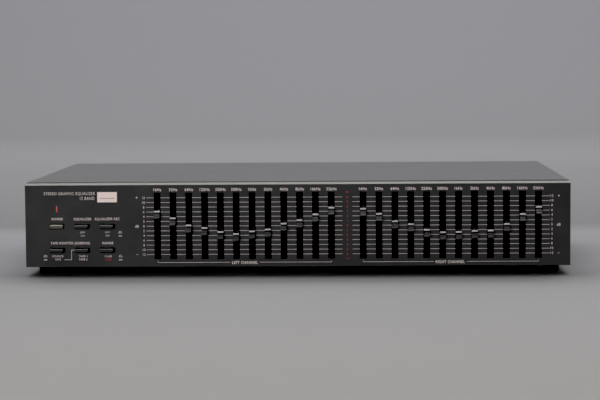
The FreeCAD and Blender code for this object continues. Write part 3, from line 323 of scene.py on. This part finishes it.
looks = {name: look(name + "_look", EXTRAS.get(name), **settings)
         for name, settings in SLOT_LOOKS.items()}
PRINTED = dict(grain=0.1, depth=0.001)
INK_WHITE = look("ink_white", colour=(0.93, 0.80, 0.77), rough=0.55, drift=0.05, **PRINTED)
INK_RED = look("ink_red", colour=(0.41, 0.027, 0.034), rough=0.55, drift=0.08, **PRINTED)
INK_DARK = look("ink_dark", colour=(0.10, 0.09, 0.09), rough=0.5, drift=0.08, **PRINTED)
KNOB_SKIN = dict(rough=0.42, grain=0.12, depth=0.003, drift=0.12, edge=0.08)
# painted highlight: lighter plastic on the knob's lip and ridge, where light from above would catch them
KNOB_LIP_HIGHLIGHT = look("knob_painted_lip_highlight", colour=(0.116, 0.116, 0.119), **KNOB_SKIN)
KNOB_RIDGE_HIGHLIGHT = look("knob_painted_ridge_highlight", colour=(0.054, 0.054, 0.056), **KNOB_SKIN)
KNOB_MARK = look("knob_mark", colour=(0.60, 0.59, 0.585), rough=0.42, grain=0.1, depth=0.002,
                 drift=0.05, edge=0.1)
CAP_SKIN = dict(rough=0.45, grain=0.14, depth=0.003, edge=0.08)
# painted highlight: a lighter band along each cap's upper front edge, where top light would catch it
CAP_BRIM_HIGHLIGHT = {
    "button_black": look("cap_painted_brim_highlight", colour=(0.225, 0.225, 0.23), **CAP_SKIN),
    "button_olive": look("cap_painted_brim_highlight_olive", colour=(0.78, 0.77, 0.68), **CAP_SKIN),
}
INSERT_SKIN = dict(rough=0.4, grain=0.3, depth=0.004)
INSERT_WHITE = look("insert_white", colour=(0.66, 0.65, 0.61), drift=0.05, **INSERT_SKIN)
INSERT_RED = look("insert_red", colour=(0.40, 0.018, 0.015), drift=0.06, **INSERT_SKIN)

slot_names = {name: node.material_slots[0].material.name for name, node in nodes.items()}
for name, node in nodes.items():
    node.material_slots[0].material = looks[slot_names[name]]


# ------------------------------------------------------------------ shapes
def inset(points, depth):
    """A closed counter-clockwise outline moved inwards by an even depth."""
    moved = []
    for index, point in enumerate(points):
        before = (point - points[index - 1]).normalized()
        after = (points[(index + 1) % len(points)] - point).normalized()
        out = Vector((before.y + after.y, -before.x - after.x))
        moved.append(point - out * depth / max(0.4, 1 + before.dot(after)))
    return moved


def rounded_rectangle(half_wide, half_high, radius, steps=5):
    """Counter-clockwise outline with round corners."""
    wide, high = half_wide - radius, half_high - radius
    corners = ((wide, high, 0), (-wide, high, 90), (-wide, -high, 180), (wide, -high, 270))
    points = []
    for x, z, start in corners:
        for step in range(steps + 1):
            turn = math.radians(start + 90 * step / steps)
            points.append(Vector((x + radius * math.cos(turn), z + radius * math.sin(turn))))
    return points


class Shape:
    """Faces gathered for one piece, in metres."""

    def __init__(self):
        self.mesh = bmesh.new()

    def skin(self, rings, kind=0, kinds=None, loop=False):
        """Faces from ring to ring of points; the ends are closed by a face each, or joined."""
        rows = [[self.mesh.verts.new(point) for point in ring] for ring in rings]
        nexts = rows[1:] + rows[:1] if loop else rows[1:]
        for first, second in zip(rows, nexts):
            for index in range(len(first)):
                following = (index + 1) % len(first)
                face = self.mesh.faces.new((first[index], first[following],
                                            second[following], second[index]))
                face.material_index = kinds[index] if kinds else kind
        if not loop:
            for row in (rows[0], rows[-1]):
                self.mesh.faces.new(row).material_index = kind

    def prism(self, outline, stations, put, kind=0, kinds=None):
        """An outline carried through (distance, inset) stations."""
        rings = []
        for distance, depth in stations:
            rings.append([put(point, distance) for point in inset(outline, depth)])
        self.skin(rings, kind, kinds)

    def block(self, low, high, radius, kind=0):
        """A box with eased edges."""
        size = [high[axis] - low[axis] for axis in range(3)]
        centre = [(high[axis] + low[axis]) / 2 for axis in range(3)]
        soft = min(radius, 0.45 * min(size))
        outline = rounded_rectangle(size[0] / 2, size[2] / 2, soft, 2)
        stations = ((low[1], soft * 0.7), (low[1] + soft * 0.3, soft * 0.2), (low[1] + soft, 0),
                    (high[1] - soft, 0), (high[1] - soft * 0.3, soft * 0.2), (high[1], soft * 0.7))
        self.prism(outline, stations,
                   lambda point, y: Vector((centre[0] + point.x, y, centre[2] + point.y)), kind)

    def turned(self, profile, put, segments):
        """A closed (radius, distance) profile turned about an axis."""
        turns = [2 * math.pi * step / segments for step in range(segments)]
        spokes = [(math.cos(turn), math.sin(turn)) for turn in turns]
        rings = []
        for radius, distance in profile:
            rings.append([put(radius * across, radius * up, distance) for across, up in spokes])
        self.skin(rings, loop=True)

    def finished(self, name):
        """The faces as a mesh, all facing out."""
        bmesh.ops.recalc_face_normals(self.mesh, faces=self.mesh.faces)
        data = bpy.data.meshes.new(name)
        self.mesh.to_mesh(data)
        self.mesh.free()
        return data

    def piece(self, name, body, materials, slot=None, replaces=()):
        """The finished piece, riding on its body."""
        bmesh.ops.remove_doubles(self.mesh, verts=self.mesh.verts, dist=1e-7)
        return add_piece(name, self.finished(name), body, materials, replaces)


def add_piece(name, data, body, materials, replaces=(), sharp=35):
    """A mesh as a smooth object with crisp edges, riding on its body."""
    for material in materials:
        data.materials.append(material)
    data.polygons.foreach_set("use_smooth", [True] * len(data.polygons))
    data.set_sharp_from_angle(angle=math.radians(sharp))
    made = bpy.data.objects.new(name, data)
    scene.collection.objects.link(made)
    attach(made, body)
    if replaces:
        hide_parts(*replaces)
    return made


# ------------------------------------------------------------------ slider knobs
KNOB_HALF_WIDE = 2.35
KNOB_REACH = 10.0
KNOB_SHAPE = (
    (-2.8, -3.25), (1.0, -3.25), (6.0, -3.65), (9.5, -2.95), (9.8, -2.83), (9.96, -2.65), (10.0, -2.4),
    (9.97, -2.15), (9.85, -1.95), (9.6, -1.83), (9.3, -1.79), (8.3, -1.75), (7.5, -1.62), (7.1, -1.35),
    (6.7, -0.85), (6.35, -0.35), (6.0, 0.0), (5.6, 0.25), (5.1, 0.48), (4.8, 0.75), (4.4, 1.4),
    (4.15, 1.98), (4.03, 2.35), (4.0, 2.8), (3.92, 3.02), (3.72, 3.17), (3.4, 3.25), (-2.8, 3.25),
)
# the white mark: above this height, and at least this far out
MARK_LOW = 1.97
MARK_BACK = 3.39
# how far out the painted highlights on the knob's lip and ridge reach, and the height that they are above
LIP_HIGHLIGHT_SPAN = (7.0, 9.9)
RIDGE_HIGHLIGHT_SPAN = (5.25, 7.0)
HIGHLIGHT_LOW = -2.0
PLAIN, MARK, LIP_HIGHLIGHTED, RIDGE_HIGHLIGHTED = range(4)
KNOB_LOOKS = (looks["knob_plastic"], KNOB_MARK, KNOB_LIP_HIGHLIGHT, KNOB_RIDGE_HIGHLIGHT)

LEVER_HALF = (0.8, 1.9)
CARRIAGE_HALF = (3.5, 4.0)
CARRIAGE_DEEP = 5.0
LEVER_LOOKS = (looks["plated_steel"], looks["switch_plastic"])


def knob_kind(start, stop):
    """Which of the knob's looks a stretch of its outline has."""
    out = (start.x + stop.x) / 2
    if start.y > MARK_LOW and stop.x > MARK_BACK:
        return MARK
    if start.y > HIGHLIGHT_LOW and LIP_HIGHLIGHT_SPAN[0] < out < LIP_HIGHLIGHT_SPAN[1]:
        return LIP_HIGHLIGHTED
    if start.y > HIGHLIGHT_LOW and RIDGE_HIGHLIGHT_SPAN[0] < out < RIDGE_HIGHLIGHT_SPAN[1]:
        return RIDGE_HIGHLIGHTED
    return PLAIN


def knob_mesh():
    """The knob's side outline, out from the panel and up from its middle, carried across its width."""
    outline = [Vector(point) for point in KNOB_SHAPE]
    kinds = [knob_kind(start, stop) for start, stop in zip(outline, outline[1:] + outline[:1])]
    easing = ((0.0, 0.17), (0.06, 0.06), (0.17, 0.0))
    stations = [(-KNOB_HALF_WIDE + along, depth) for along, depth in easing]
    stations += [(KNOB_HALF_WIDE - along, depth) for along, depth in reversed(easing)]
    shape = Shape()
    shape.prism(outline, stations,
                lambda point, across: Vector((across, -point.x, point.y)) * MM, PLAIN, kinds)
    return shape.finished("knob")


def lever_mesh(back):
    """Steel blade into a plastic wiper carriage with two spring fingers, to that far behind the face."""
    shape = Shape()

    def part(across, near, far, half_high, radius, kind):
        shape.block((across[0] * MM, near * MM, -half_high * MM),
                    (across[1] * MM, far * MM, half_high * MM), radius * MM, kind)

    blade, carriage = LEVER_HALF[0], CARRIAGE_HALF[0]
    part((-blade, blade), 0.0, back - 3.0, LEVER_HALF[1], 0.15, 0)
    part((-carriage, carriage), back - CARRIAGE_DEEP, back, CARRIAGE_HALF[1], 0.4, 1)
    for finger in (-2, 2):
        part((finger - 0.5, finger + 0.5), back - 5.3, back - 4.8, 3.2, 0.12, 0)
    return shape.finished("lever")


knob_data = knob_mesh()
lever_data = lever_mesh(span("left_16hz_slider").y / MM - KNOB_REACH)
for channel in CHANNELS:
    for band in BANDS:
        name = "%s_%s" % (channel, band)
        node = name + "_slider"
        place = Matrix.Translation((middle(node).x, FACE, middle(node).z))
        knob, lever = knob_data.copy(), lever_data.copy()
        knob.transform(place)
        lever.transform(place)
        add_piece(name + "_knob", knob, node, KNOB_LOOKS, (node,))
        add_piece(name + "_lever", lever, node, LEVER_LOOKS)


# ------------------------------------------------------------------ push buttons
CAP_CORNER = 0.5
CAP_BRIM = 1.0 * MM
# how far back, and how far in at the sides, from the top and from below
CAP_EDGE = ((0.1, 1.6, 1.6, 1.4), (0.02, 0.9, 1.3, 1.1), (0.0, 0.55, 1.15, 0.9), (0.14, 0.25, 0.9, 0.6),
            (0.5, 0.08, 0.45, 0.3), (1.0, 0.0, 0.12, 0.1), (1.5, 0.0, 0.0, 0.0), (9.0, 0.0, 0.0, 0.0))
CAP_DEEP = CAP_EDGE[-1][0] * MM
PLUNGER = 1.1 * MM


def cap_rings(low, high):
    """The cap's outlines, from the middle of its face back to its root."""
    centre = (low + high) / 2
    half_wide, half_high = (high.x - low.x) / 2, (high.z - low.z) / 2
    rings = []
    for back, side, over, under in CAP_EDGE:
        edge = rounded_rectangle(half_wide - side * MM, half_high - (over + under) / 2 * MM,
                                 max(CAP_CORNER - side, 0.08) * MM)
        rise = centre.z + (under - over) / 2 * MM
        rings.append([Vector((centre.x + point.x, low.y + back * MM, rise + point.y)) for point in edge])
    return rings


def push_button(name):
    """A cap with a painted highlight along its upper brim, on a cross-shaped plunger."""
    node = name + "_button"
    low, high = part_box(node)
    centre = (low + high) / 2
    shape = Shape()
    shape.skin(cap_rings(low, high))
    # faces along the upper brim take the painted highlight
    for face in shape.mesh.faces:
        spot = face.calc_center_median()
        if spot.z > high.z - CAP_BRIM and 0.1 * MM < spot.y - low.y < 1.0 * MM:
            face.material_index = 1
    near = low.y + CAP_DEEP - 0.2 * MM
    for half_wide, half_high, far in ((2.0, 0.5, high.y), (0.6, 1.0, high.y - 0.5 * MM)):
        shape.block((centre.x - half_wide * PLUNGER, near, centre.z - half_high * PLUNGER),
                    (centre.x + half_wide * PLUNGER, far, centre.z + half_high * PLUNGER), 0.15 * MM)
    slot = slot_names[node]
    shape.piece(name + "_cap", node, (looks[slot], CAP_BRIM_HIGHLIGHT[slot]), slot, (node,))


for name in BUTTONS:
    push_button(name)


# ------------------------------------------------------------------ feet
foot_low, foot_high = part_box("feet")
FOOT_RADIUS = 14 * MM
FOOT_SHAPE = ((2.1, 8.0), (2.1, 3.0), (7.0, 3.0), (7.0, 0.6), (7.2, 0.4), (11.6, 0.4), (12.3, 0.5),
              (13.0, 0.95), (13.5, 1.6), (13.75, 2.3), (13.82, 3.4), (13.7, 3.55), (13.7, 3.75),
              (13.84, 3.9), (13.95, 7.4), (14.0, 7.7), (14.0, 8.0))
PAD_SHAPE = ((7.4, 1.4), (7.4, 0.25), (7.65, 0.0), (11.1, 0.0), (11.4, 0.25), (11.4, 1.4))


def four_feet(profile):
    """A (radius, height) profile turned at each foot."""
    shape = Shape()
    for x in (foot_low.x + FOOT_RADIUS, foot_high.x - FOOT_RADIUS):
        for y in (foot_low.y + FOOT_RADIUS, foot_high.y - FOOT_RADIUS):
            def standing(across, along, height, x=x, y=y):
                return Vector((x + across, y + along, height))

            shape.turned([(radius * MM, height * MM) for radius, height in profile], standing, 64)
    return shape


foot_bodies = four_feet(FOOT_SHAPE)
foot_bodies.piece("foot_bodies", "cabinet", (looks["foot_plastic"],), "foot_plastic", ("feet",))
foot_pads = four_feet(PAD_SHAPE)
foot_pads.piece("foot_pads", "cabinet", (looks["gland_rubber"],), "gland_rubber")


# ------------------------------------------------------------------ rear sockets
sockets = [mount for mount in frame["record"]["mounts"] if mount["kind"] == "pin"]
shell_low, shell_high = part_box("phono_shells")
ROOT = shell_low.y
TIP = shell_high.y
COLLAR = TIP - 9.5 * MM
INSERT_FACE = TIP - 0.9 * MM
SLEEVE_SHAPE = (
    (3.9, ROOT), (3.9, COLLAR), (4.15, COLLAR + 0.1 * MM), (4.15, TIP - 3.6 * MM),
    (3.95, TIP - 3.4 * MM), (3.95, TIP - 3.1 * MM), (4.15, TIP - 2.9 * MM), (4.15, TIP - 0.5 * MM),
    (4.0, TIP - 0.1 * MM), (3.8, TIP), (3.5, TIP - 0.05 * MM), (3.3, TIP - 0.3 * MM), (3.3, ROOT),
)
INSERT_SHAPE = (
    (3.27, ROOT), (3.27, INSERT_FACE - 0.2 * MM), (3.1, INSERT_FACE), (2.1, INSERT_FACE),
    (1.8, INSERT_FACE - 0.25 * MM), (1.62, INSERT_FACE - 0.7 * MM), (1.62, ROOT),
)


def round_sockets(profile, segments, channels=CHANNELS):
    """A (radius, Y) profile turned at each socket of the channels."""
    shape = Shape()
    for mount in sockets:
        x, _, z = mount["pos_m"]

        def facing(across, up, y, x=x, z=z):
            return Vector((x + across, y, z + up))

        if mount["name"].endswith(channels):
            shape.turned([(radius * MM, y) for radius, y in profile], facing, segments)
    return shape


sleeves = round_sockets(SLEEVE_SHAPE, 48)
sleeves.piece("socket_sleeves", "cabinet", (looks["socket_metal"],), "socket_metal", ("phono_shells",))
for channel, row, material in (("left", "upper", INSERT_WHITE), ("right", "lower", INSERT_RED)):
    inserts = round_sockets(INSERT_SHAPE, 40, channel)
    inserts.piece("socket_inserts_" + row, "cabinet", (material,), "socket_plastic")


# ------------------------------------------------------------------ lettering and lines
INK = 0.03 * MM
BOLD, FINE = 0.017, 0.003
LINE = 0.27
THIN_LINE = 0.3


def face_plane(x, z, height):
    """Front of the panel: letters read along +X."""
    return Vector((x, FACE - height, z))


def rear_plane(x, z, height):
    """Back of the cabinet: letters read along -X."""
    return Vector((-x, REAR + height, z))


def plate_plane(x, z, height):
    return Vector((x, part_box("name_plate")[0].y - height, z))


def letters(words, weight=BOLD):
    """Text as a flat mesh at size 1, its strokes swollen by a weight."""
    curve = bpy.data.curves.new("letters", "FONT")
    curve.body = words
    curve.resolution_u = 3
    curve.offset = weight
    curve.space_character = 1.12
    holder = bpy.data.objects.new("letters", curve)
    scene.collection.objects.link(holder)
    bpy.context.view_layer.update()
    shaped = holder.evaluated_get(bpy.context.evaluated_depsgraph_get())
    data = bpy.data.meshes.new_from_object(shaped)
    bpy.data.objects.remove(holder)
    bpy.data.curves.remove(curve)
    return data


def sides(data, axis):
    values = [vertex.co[axis] for vertex in data.vertices]
    return min(values), max(values)


CAP_HEIGHT = sides(letters("H"), 1)[1]


class Print:
    """Thin ink on one face of the cabinet, in millimetres of that face."""

    def __init__(self, plane, zero=0.0):
        self.mesh = bmesh.new()
        self.plane = plane
        self.zero = zero

    def raised(self, faces):
        """Flat faces get the ink's thickness, so that each mark is closed."""
        grown = bmesh.ops.extrude_face_region(self.mesh, geom=faces)
        for item in grown["geom"]:
            if isinstance(item, bmesh.types.BMVert):
                item.co.z = 1.0

    def bar(self, left, right, low, high):
        corners = ((left, low), (right, low), (right, high), (left, high))
        points = [self.mesh.verts.new((x, z + self.zero, -1.0)) for x, z in corners]
        self.raised([self.mesh.faces.new(points)])

    def rule(self, left, right, z, thick=LINE):
        self.bar(left, right, z - thick / 2, z + thick / 2)

    def post(self, x, low, high, thick=LINE):
        self.bar(x - thick / 2, x + thick / 2, low, high)

    def text(self, words, x, low, height, width=None, align=0.5, weight=BOLD):
        """Words standing on low, cap height as given, squeezed to a width if there is one."""
        data = letters(words, weight)
        tall = height / CAP_HEIGHT
        left, right = sides(data, 0)
        wide = width / (right - left) if width else tall * 0.92
        start = x - align * (right - left) * wide
        points = []
        for vertex in data.vertices:
            place = (start + (vertex.co.x - left) * wide, low + vertex.co.y * tall + self.zero, -1.0)
            points.append(self.mesh.verts.new(place))
        corners = [[points[index] for index in polygon.vertices] for polygon in data.polygons]
        self.raised([self.mesh.faces.new(outline) for outline in corners])
        bpy.data.meshes.remove(data)

    def piece(self, name, material):
        for vertex in self.mesh.verts:
            vertex.co = self.plane(vertex.co.x * MM, vertex.co.y * MM, vertex.co.z * INK)
        bmesh.ops.recalc_face_normals(self.mesh, faces=self.mesh.faces)
        data = bpy.data.meshes.new(name)
        self.mesh.to_mesh(data)
        self.mesh.free()
        return add_piece(name, data, "cabinet", (material,), sharp=20)


ink = Print(face_plane, ZERO / MM)
red_ink = Print(face_plane, ZERO / MM)
half = HALF_TRAVEL / MM
ROWS = 13
MOST_DB = 12
step = 2 * half / (ROWS - 1)
SLOT_HALF = 2.6
slot_middles = {channel: [band_side(channel, index) / MM for index in range(len(BANDS))]
                for channel in CHANNELS}
centre_mm = CENTRE / MM

# the scale lines, broken at the slots, and the band names
FIELD_EDGES = {"left": (-118.9, 36.1), "right": (44.0, 198.8)}
BAND_SHIFT = {"left": 0.2, "right": 0.0}
for channel in CHANNELS:
    first, last = FIELD_EDGES[channel]
    breaks = [first] + [x + side * SLOT_HALF for x in slot_middles[channel] for side in (-1, 1)] + [last]
    for row in range(ROWS):
        for start, stop in zip(breaks[::2], breaks[1::2]):
            ink.rule(start, stop, half - row * step)
    for x, words in zip(slot_middles[channel], BAND_WORDS):
        ink.text(words, x + BAND_SHIFT[channel], 27.8, 2.2)

# the numbers beside them: 12 dB at the sides, and the narrow range in red between the channels
NUMBER_HEIGHT = 1.9
for row in range(ROWS):
    decibels = abs(MOST_DB - 2 * row)
    low = half - row * step - NUMBER_HEIGHT / 2
    for x, lift in ((-120.9, 0.0), (200.5, 0.25)):
        ink.text(str(decibels), x, low + lift, NUMBER_HEIGHT, weight=FINE)
    red_ink.text(str(decibels // 2), centre_mm, low, NUMBER_HEIGHT)
for x in (-126.4, 205.8):
    ink.text("+", x, half - 1.0, 2.3)
    ink.text("dB", x, -1.0, 2.0)
    ink.rule(x - 0.7, x + 0.7, -half)
for z, thick in ((26.3, 0.8), (-26.2, 0.5)):
    red_ink.rule(centre_mm - 1.0, centre_mm + 1.0, z, thick)

# a bracket under each channel, open round its name
BRACKET = -28.9
WORD_PLACE = {"left": (0.3, 20.5), "right": (-0.3, 22.8)}
for channel in CHANNELS:
    first, last = slot_middles[channel][0], slot_middles[channel][-1]
    shift, wide = WORD_PLACE[channel]
    word_middle = (first + last) / 2 + shift
    half_gap = wide / 2 + 1.5
    ink.rule(first, word_middle - half_gap, BRACKET)
    ink.rule(word_middle + half_gap, last, BRACKET)
    for x in (first, last):
        ink.post(x, BRACKET, BRACKET + 1.2)
    ink.text(channel.upper() + " CHANNEL", word_middle, BRACKET - 1.3, 2.2, wide)

# words beside the buttons: middle, low edge, cap height, width
HEADINGS = (
    ("POWER", -189.5, 5.0, 1.9, 9.2), ("EQUALIZER", -169.4, 5.0, 1.9, 13.9),
    ("EQUALIZER REC", -149.8, 5.0, 1.9, 19.6), ("TAPE MONITOR (DUBBING)", -179.5, -14.1, 1.9, 31.2),
    ("RANGE", -149.7, -14.1, 1.9, 8.7), ("TAPE 1", -169.5, -24.35, 1.5, 6.7),
    ("TAPE 2", -169.5, -26.95, 1.5, 6.7),
)
FINE_WORDS = (
    ("12 BAND", -165.6, 21.1, 2.5, 11.4), ("OFF", -169.7, -5.4, 1.4, 3.8),
    ("ON", -169.7, -8.0, 1.4, 2.9), ("OFF", -149.9, -5.4, 1.4, 3.8), ("ON", -149.9, -8.0, 1.4, 2.9),
    ("SOURCE", -189.7, -24.3, 1.5, 8.9), ("TAPE", -189.6, -26.9, 1.5, 4.8),
    ("12dB", -149.4, -24.5, 1.5, 5.6),
)
ink.text("STEREO GRAPHIC EQUALIZER", -200.0, 25.0, 2.3, 40.7, align=0, weight=FINE)
for words, x, low, height, wide in HEADINGS:
    ink.text(words, x, low, height, wide)
for words, x, low, height, wide in FINE_WORDS:
    ink.text(words, x, low, height, wide, weight=FINE)
red_ink.text("6dB", -149.4, -27.1, 1.5, 5.0)

# joining line between the tape buttons
JOIN_LOW, JOIN_HIGH, JOIN_SIDE = -26.4, -18.7, -178.7
ink.rule(-184.6, JOIN_SIDE + 0.1, JOIN_LOW, THIN_LINE)
ink.post(JOIN_SIDE, JOIN_LOW, JOIN_HIGH, THIN_LINE)
ink.rule(JOIN_SIDE, -175.9, JOIN_HIGH, THIN_LINE)


def button_symbol(x, z):
    """Released button drawn over a pressed one."""
    for base, tall in ((z, 1.3), (z - 2.5, 0.5)):
        ink.rule(x - 1.6, x + 1.6, base, THIN_LINE)
        for side in (-0.8, 0.8):
            ink.post(x + side, base + THIN_LINE / 2, base + tall - THIN_LINE / 2, THIN_LINE)
        ink.rule(x - 0.95, x + 0.95, base + tall, THIN_LINE)


for x, z in ((-139.8, -5.3), (-199.4, -24.1), (-139.7, -24.3)):
    button_symbol(x, z)

ink.piece("panel_print", INK_WHITE)
red_ink.piece("panel_print_red", INK_RED)

plate_rule = Print(plate_plane)
plate_middle = middle("name_plate") / MM
plate_rule.rule(plate_middle.x - 5.8, plate_middle.x + 5.8, plate_middle.z - 0.9, 0.35)
plate_rule.piece("name_plate_rule", INK_DARK)

# rear lettering: X counts the other way there
rear_ink = Print(rear_plane)
columns = {}
for mount in sockets:
    columns.setdefault(mount["name"].rsplit("_", 1)[0], -mount["pos_m"][0] / MM)
for label, x in columns.items():
    rear_ink.text(label.upper().split("_")[-1], x, 56.6, 1.9)
GROUPS = (("TAPE 2", "tape_2_rec", "tape_2_play"), ("TAPE 1", "tape_1_rec", "tape_1_play"),
          ("LINE", "line_in", "line_out"))
GROUP_LINE = 62.0
for words, first, last in GROUPS:
    group_middle = (columns[first] + columns[last]) / 2
    rear_ink.text(words, group_middle, 61.0, 2.1)
    half_group = abs(columns[first] - columns[last]) / 2 + 4
    for side in (-1, 1):
        edge, inner = group_middle + side * half_group, group_middle + side * 6.5
        rear_ink.rule(min(edge, inner), max(edge, inner), GROUP_LINE)
        rear_ink.post(edge, GROUP_LINE - 1.8, GROUP_LINE)
for words, z in (("L", 50.0), ("R", 32.0)):
    for x in (-163.5, -95.0, -28.0):
        rear_ink.text(words, x, z - 1.1, 2.2)
rear_ink.text("SUPPLY", -middle("cord_gland").x / MM, 42.5, 2.0)
rear_ink.piece("rear_print", INK_WHITE)


# ------------------------------------------------------------------ floor, light and camera
def sweep(name, material):
    """A floor that curves up into a backdrop."""
    start, bend, radius, top, wide, parts = -5.0, 2.4, 1.4, 5.0, 7.0, 16
    line = [(start, 0.0)]
    for part in range(parts + 1):
        turn = math.pi / 2 * part / parts
        line.append((bend + radius * math.sin(turn), radius * (1 - math.cos(turn))))
    line.append((bend + radius, top))
    mesh = bmesh.new()
    rows = [[mesh.verts.new((x, y, z)) for x in (-wide, wide)] for y, z in line]
    for first, second in zip(rows, rows[1:]):
        mesh.faces.new((first[0], first[1], second[1], second[0]))
    data = bpy.data.meshes.new(name)
    mesh.to_mesh(data)
    mesh.free()
    data.polygons.foreach_set("use_smooth", [True] * len(data.polygons))
    data.materials.append(material)
    made = bpy.data.objects.new(name, data)
    scene.collection.objects.link(made)


def graded_paper(finish):
    """Paper with painted shade behind the unit and painted light that pales it towards the front."""
    depth = finish.along("Y")
    behind = finish.math("MULTIPLY", finish.level(depth, 0.22, 0.31, 0.3), finish.level(depth, 3.7, 1.2))
    # painted shade on the floor behind the unit and up the backdrop
    finish.cover(behind, (0.160, 0.158, 0.163))
    # painted light: the floor pales towards the front
    finish.cover(finish.level(depth, 0.02, -0.7), (0.50, 0.485, 0.475))


BACKDROP = look("backdrop", graded_paper, colour=(0.266, 0.262, 0.279), rough=0.85, grain=1.0,
                depth=0.02, drift=0.01, edge=0.5)
sweep("floor_and_backdrop", BACKDROP)


def soft_light(name, place, target, size, power, spread=180):
    """A rectangular softbox facing its target."""
    lamp = bpy.data.lights.new(name, "AREA")
    lamp.shape = "RECTANGLE"
    lamp.size, lamp.size_y = size
    lamp.energy = power
    lamp.spread = math.radians(spread)
    made = bpy.data.objects.new(name, lamp)
    made.location = place
    made.rotation_euler = (Vector(target) - Vector(place)).to_track_quat("-Z", "Y").to_euler()
    scene.collection.objects.link(made)


soft_light("overhead", (0.0, 0.22, 1.7), (0, 0, 0), (2.6, 0.45), 18)
soft_light("overhead_behind", (0.0, 1.2, 1.7), (0, 0, 0), (2.6, 1.3), 28)
soft_light("backdrop_wash", (0.0, 1.5, 2.2), (0, 3.4, 0.3), (5.0, 0.6), 101)
soft_light("front_fill", (-0.5, -3.0, 0.21), (0, -0.13, 0.04), (1.4, 0.22), 4.8, spread=60)

world = bpy.data.worlds.new("studio")
world.use_nodes = True
surround = world.node_tree.nodes["Background"]
surround.inputs["Color"].default_value = (0.95, 0.97, 1.0, 1.0)
surround.inputs["Strength"].default_value = 0.025
scene.world = world
scene.view_settings.view_transform = "Standard"
scene.view_settings.use_curve_mapping = True
scene.view_settings.curve_mapping.black_level = (0.0135, 0.0135, 0.0135)
scene.view_settings.curve_mapping.update()

YAW, PITCH, ROLL = -0.03277, 0.07646, -0.0075
CAMERA_PLACE = Vector((0.0510, FACE - 1.4718, ZERO + 0.133))
ahead = Vector((math.sin(YAW) * math.cos(PITCH), math.cos(YAW) * math.cos(PITCH), -math.sin(PITCH)))
level_right = Vector((math.cos(YAW), -math.sin(YAW), 0.0))
level_up = level_right.cross(ahead)
right = level_right * math.cos(ROLL) + level_up * math.sin(ROLL)
up = level_up * math.cos(ROLL) - level_right * math.sin(ROLL)
lens = bpy.data.cameras.new("camera")
lens.lens = 112.5
lens.sensor_width = 36.0
lens.clip_start, lens.clip_end = 0.05, 50.0
camera = bpy.data.objects.new("camera", lens)
turned = Matrix((right, up, -ahead)).transposed().to_4x4()
camera.matrix_world = Matrix.Translation(CAMERA_PLACE) @ turned
scene.collection.objects.link(camera)
scene.camera = camera
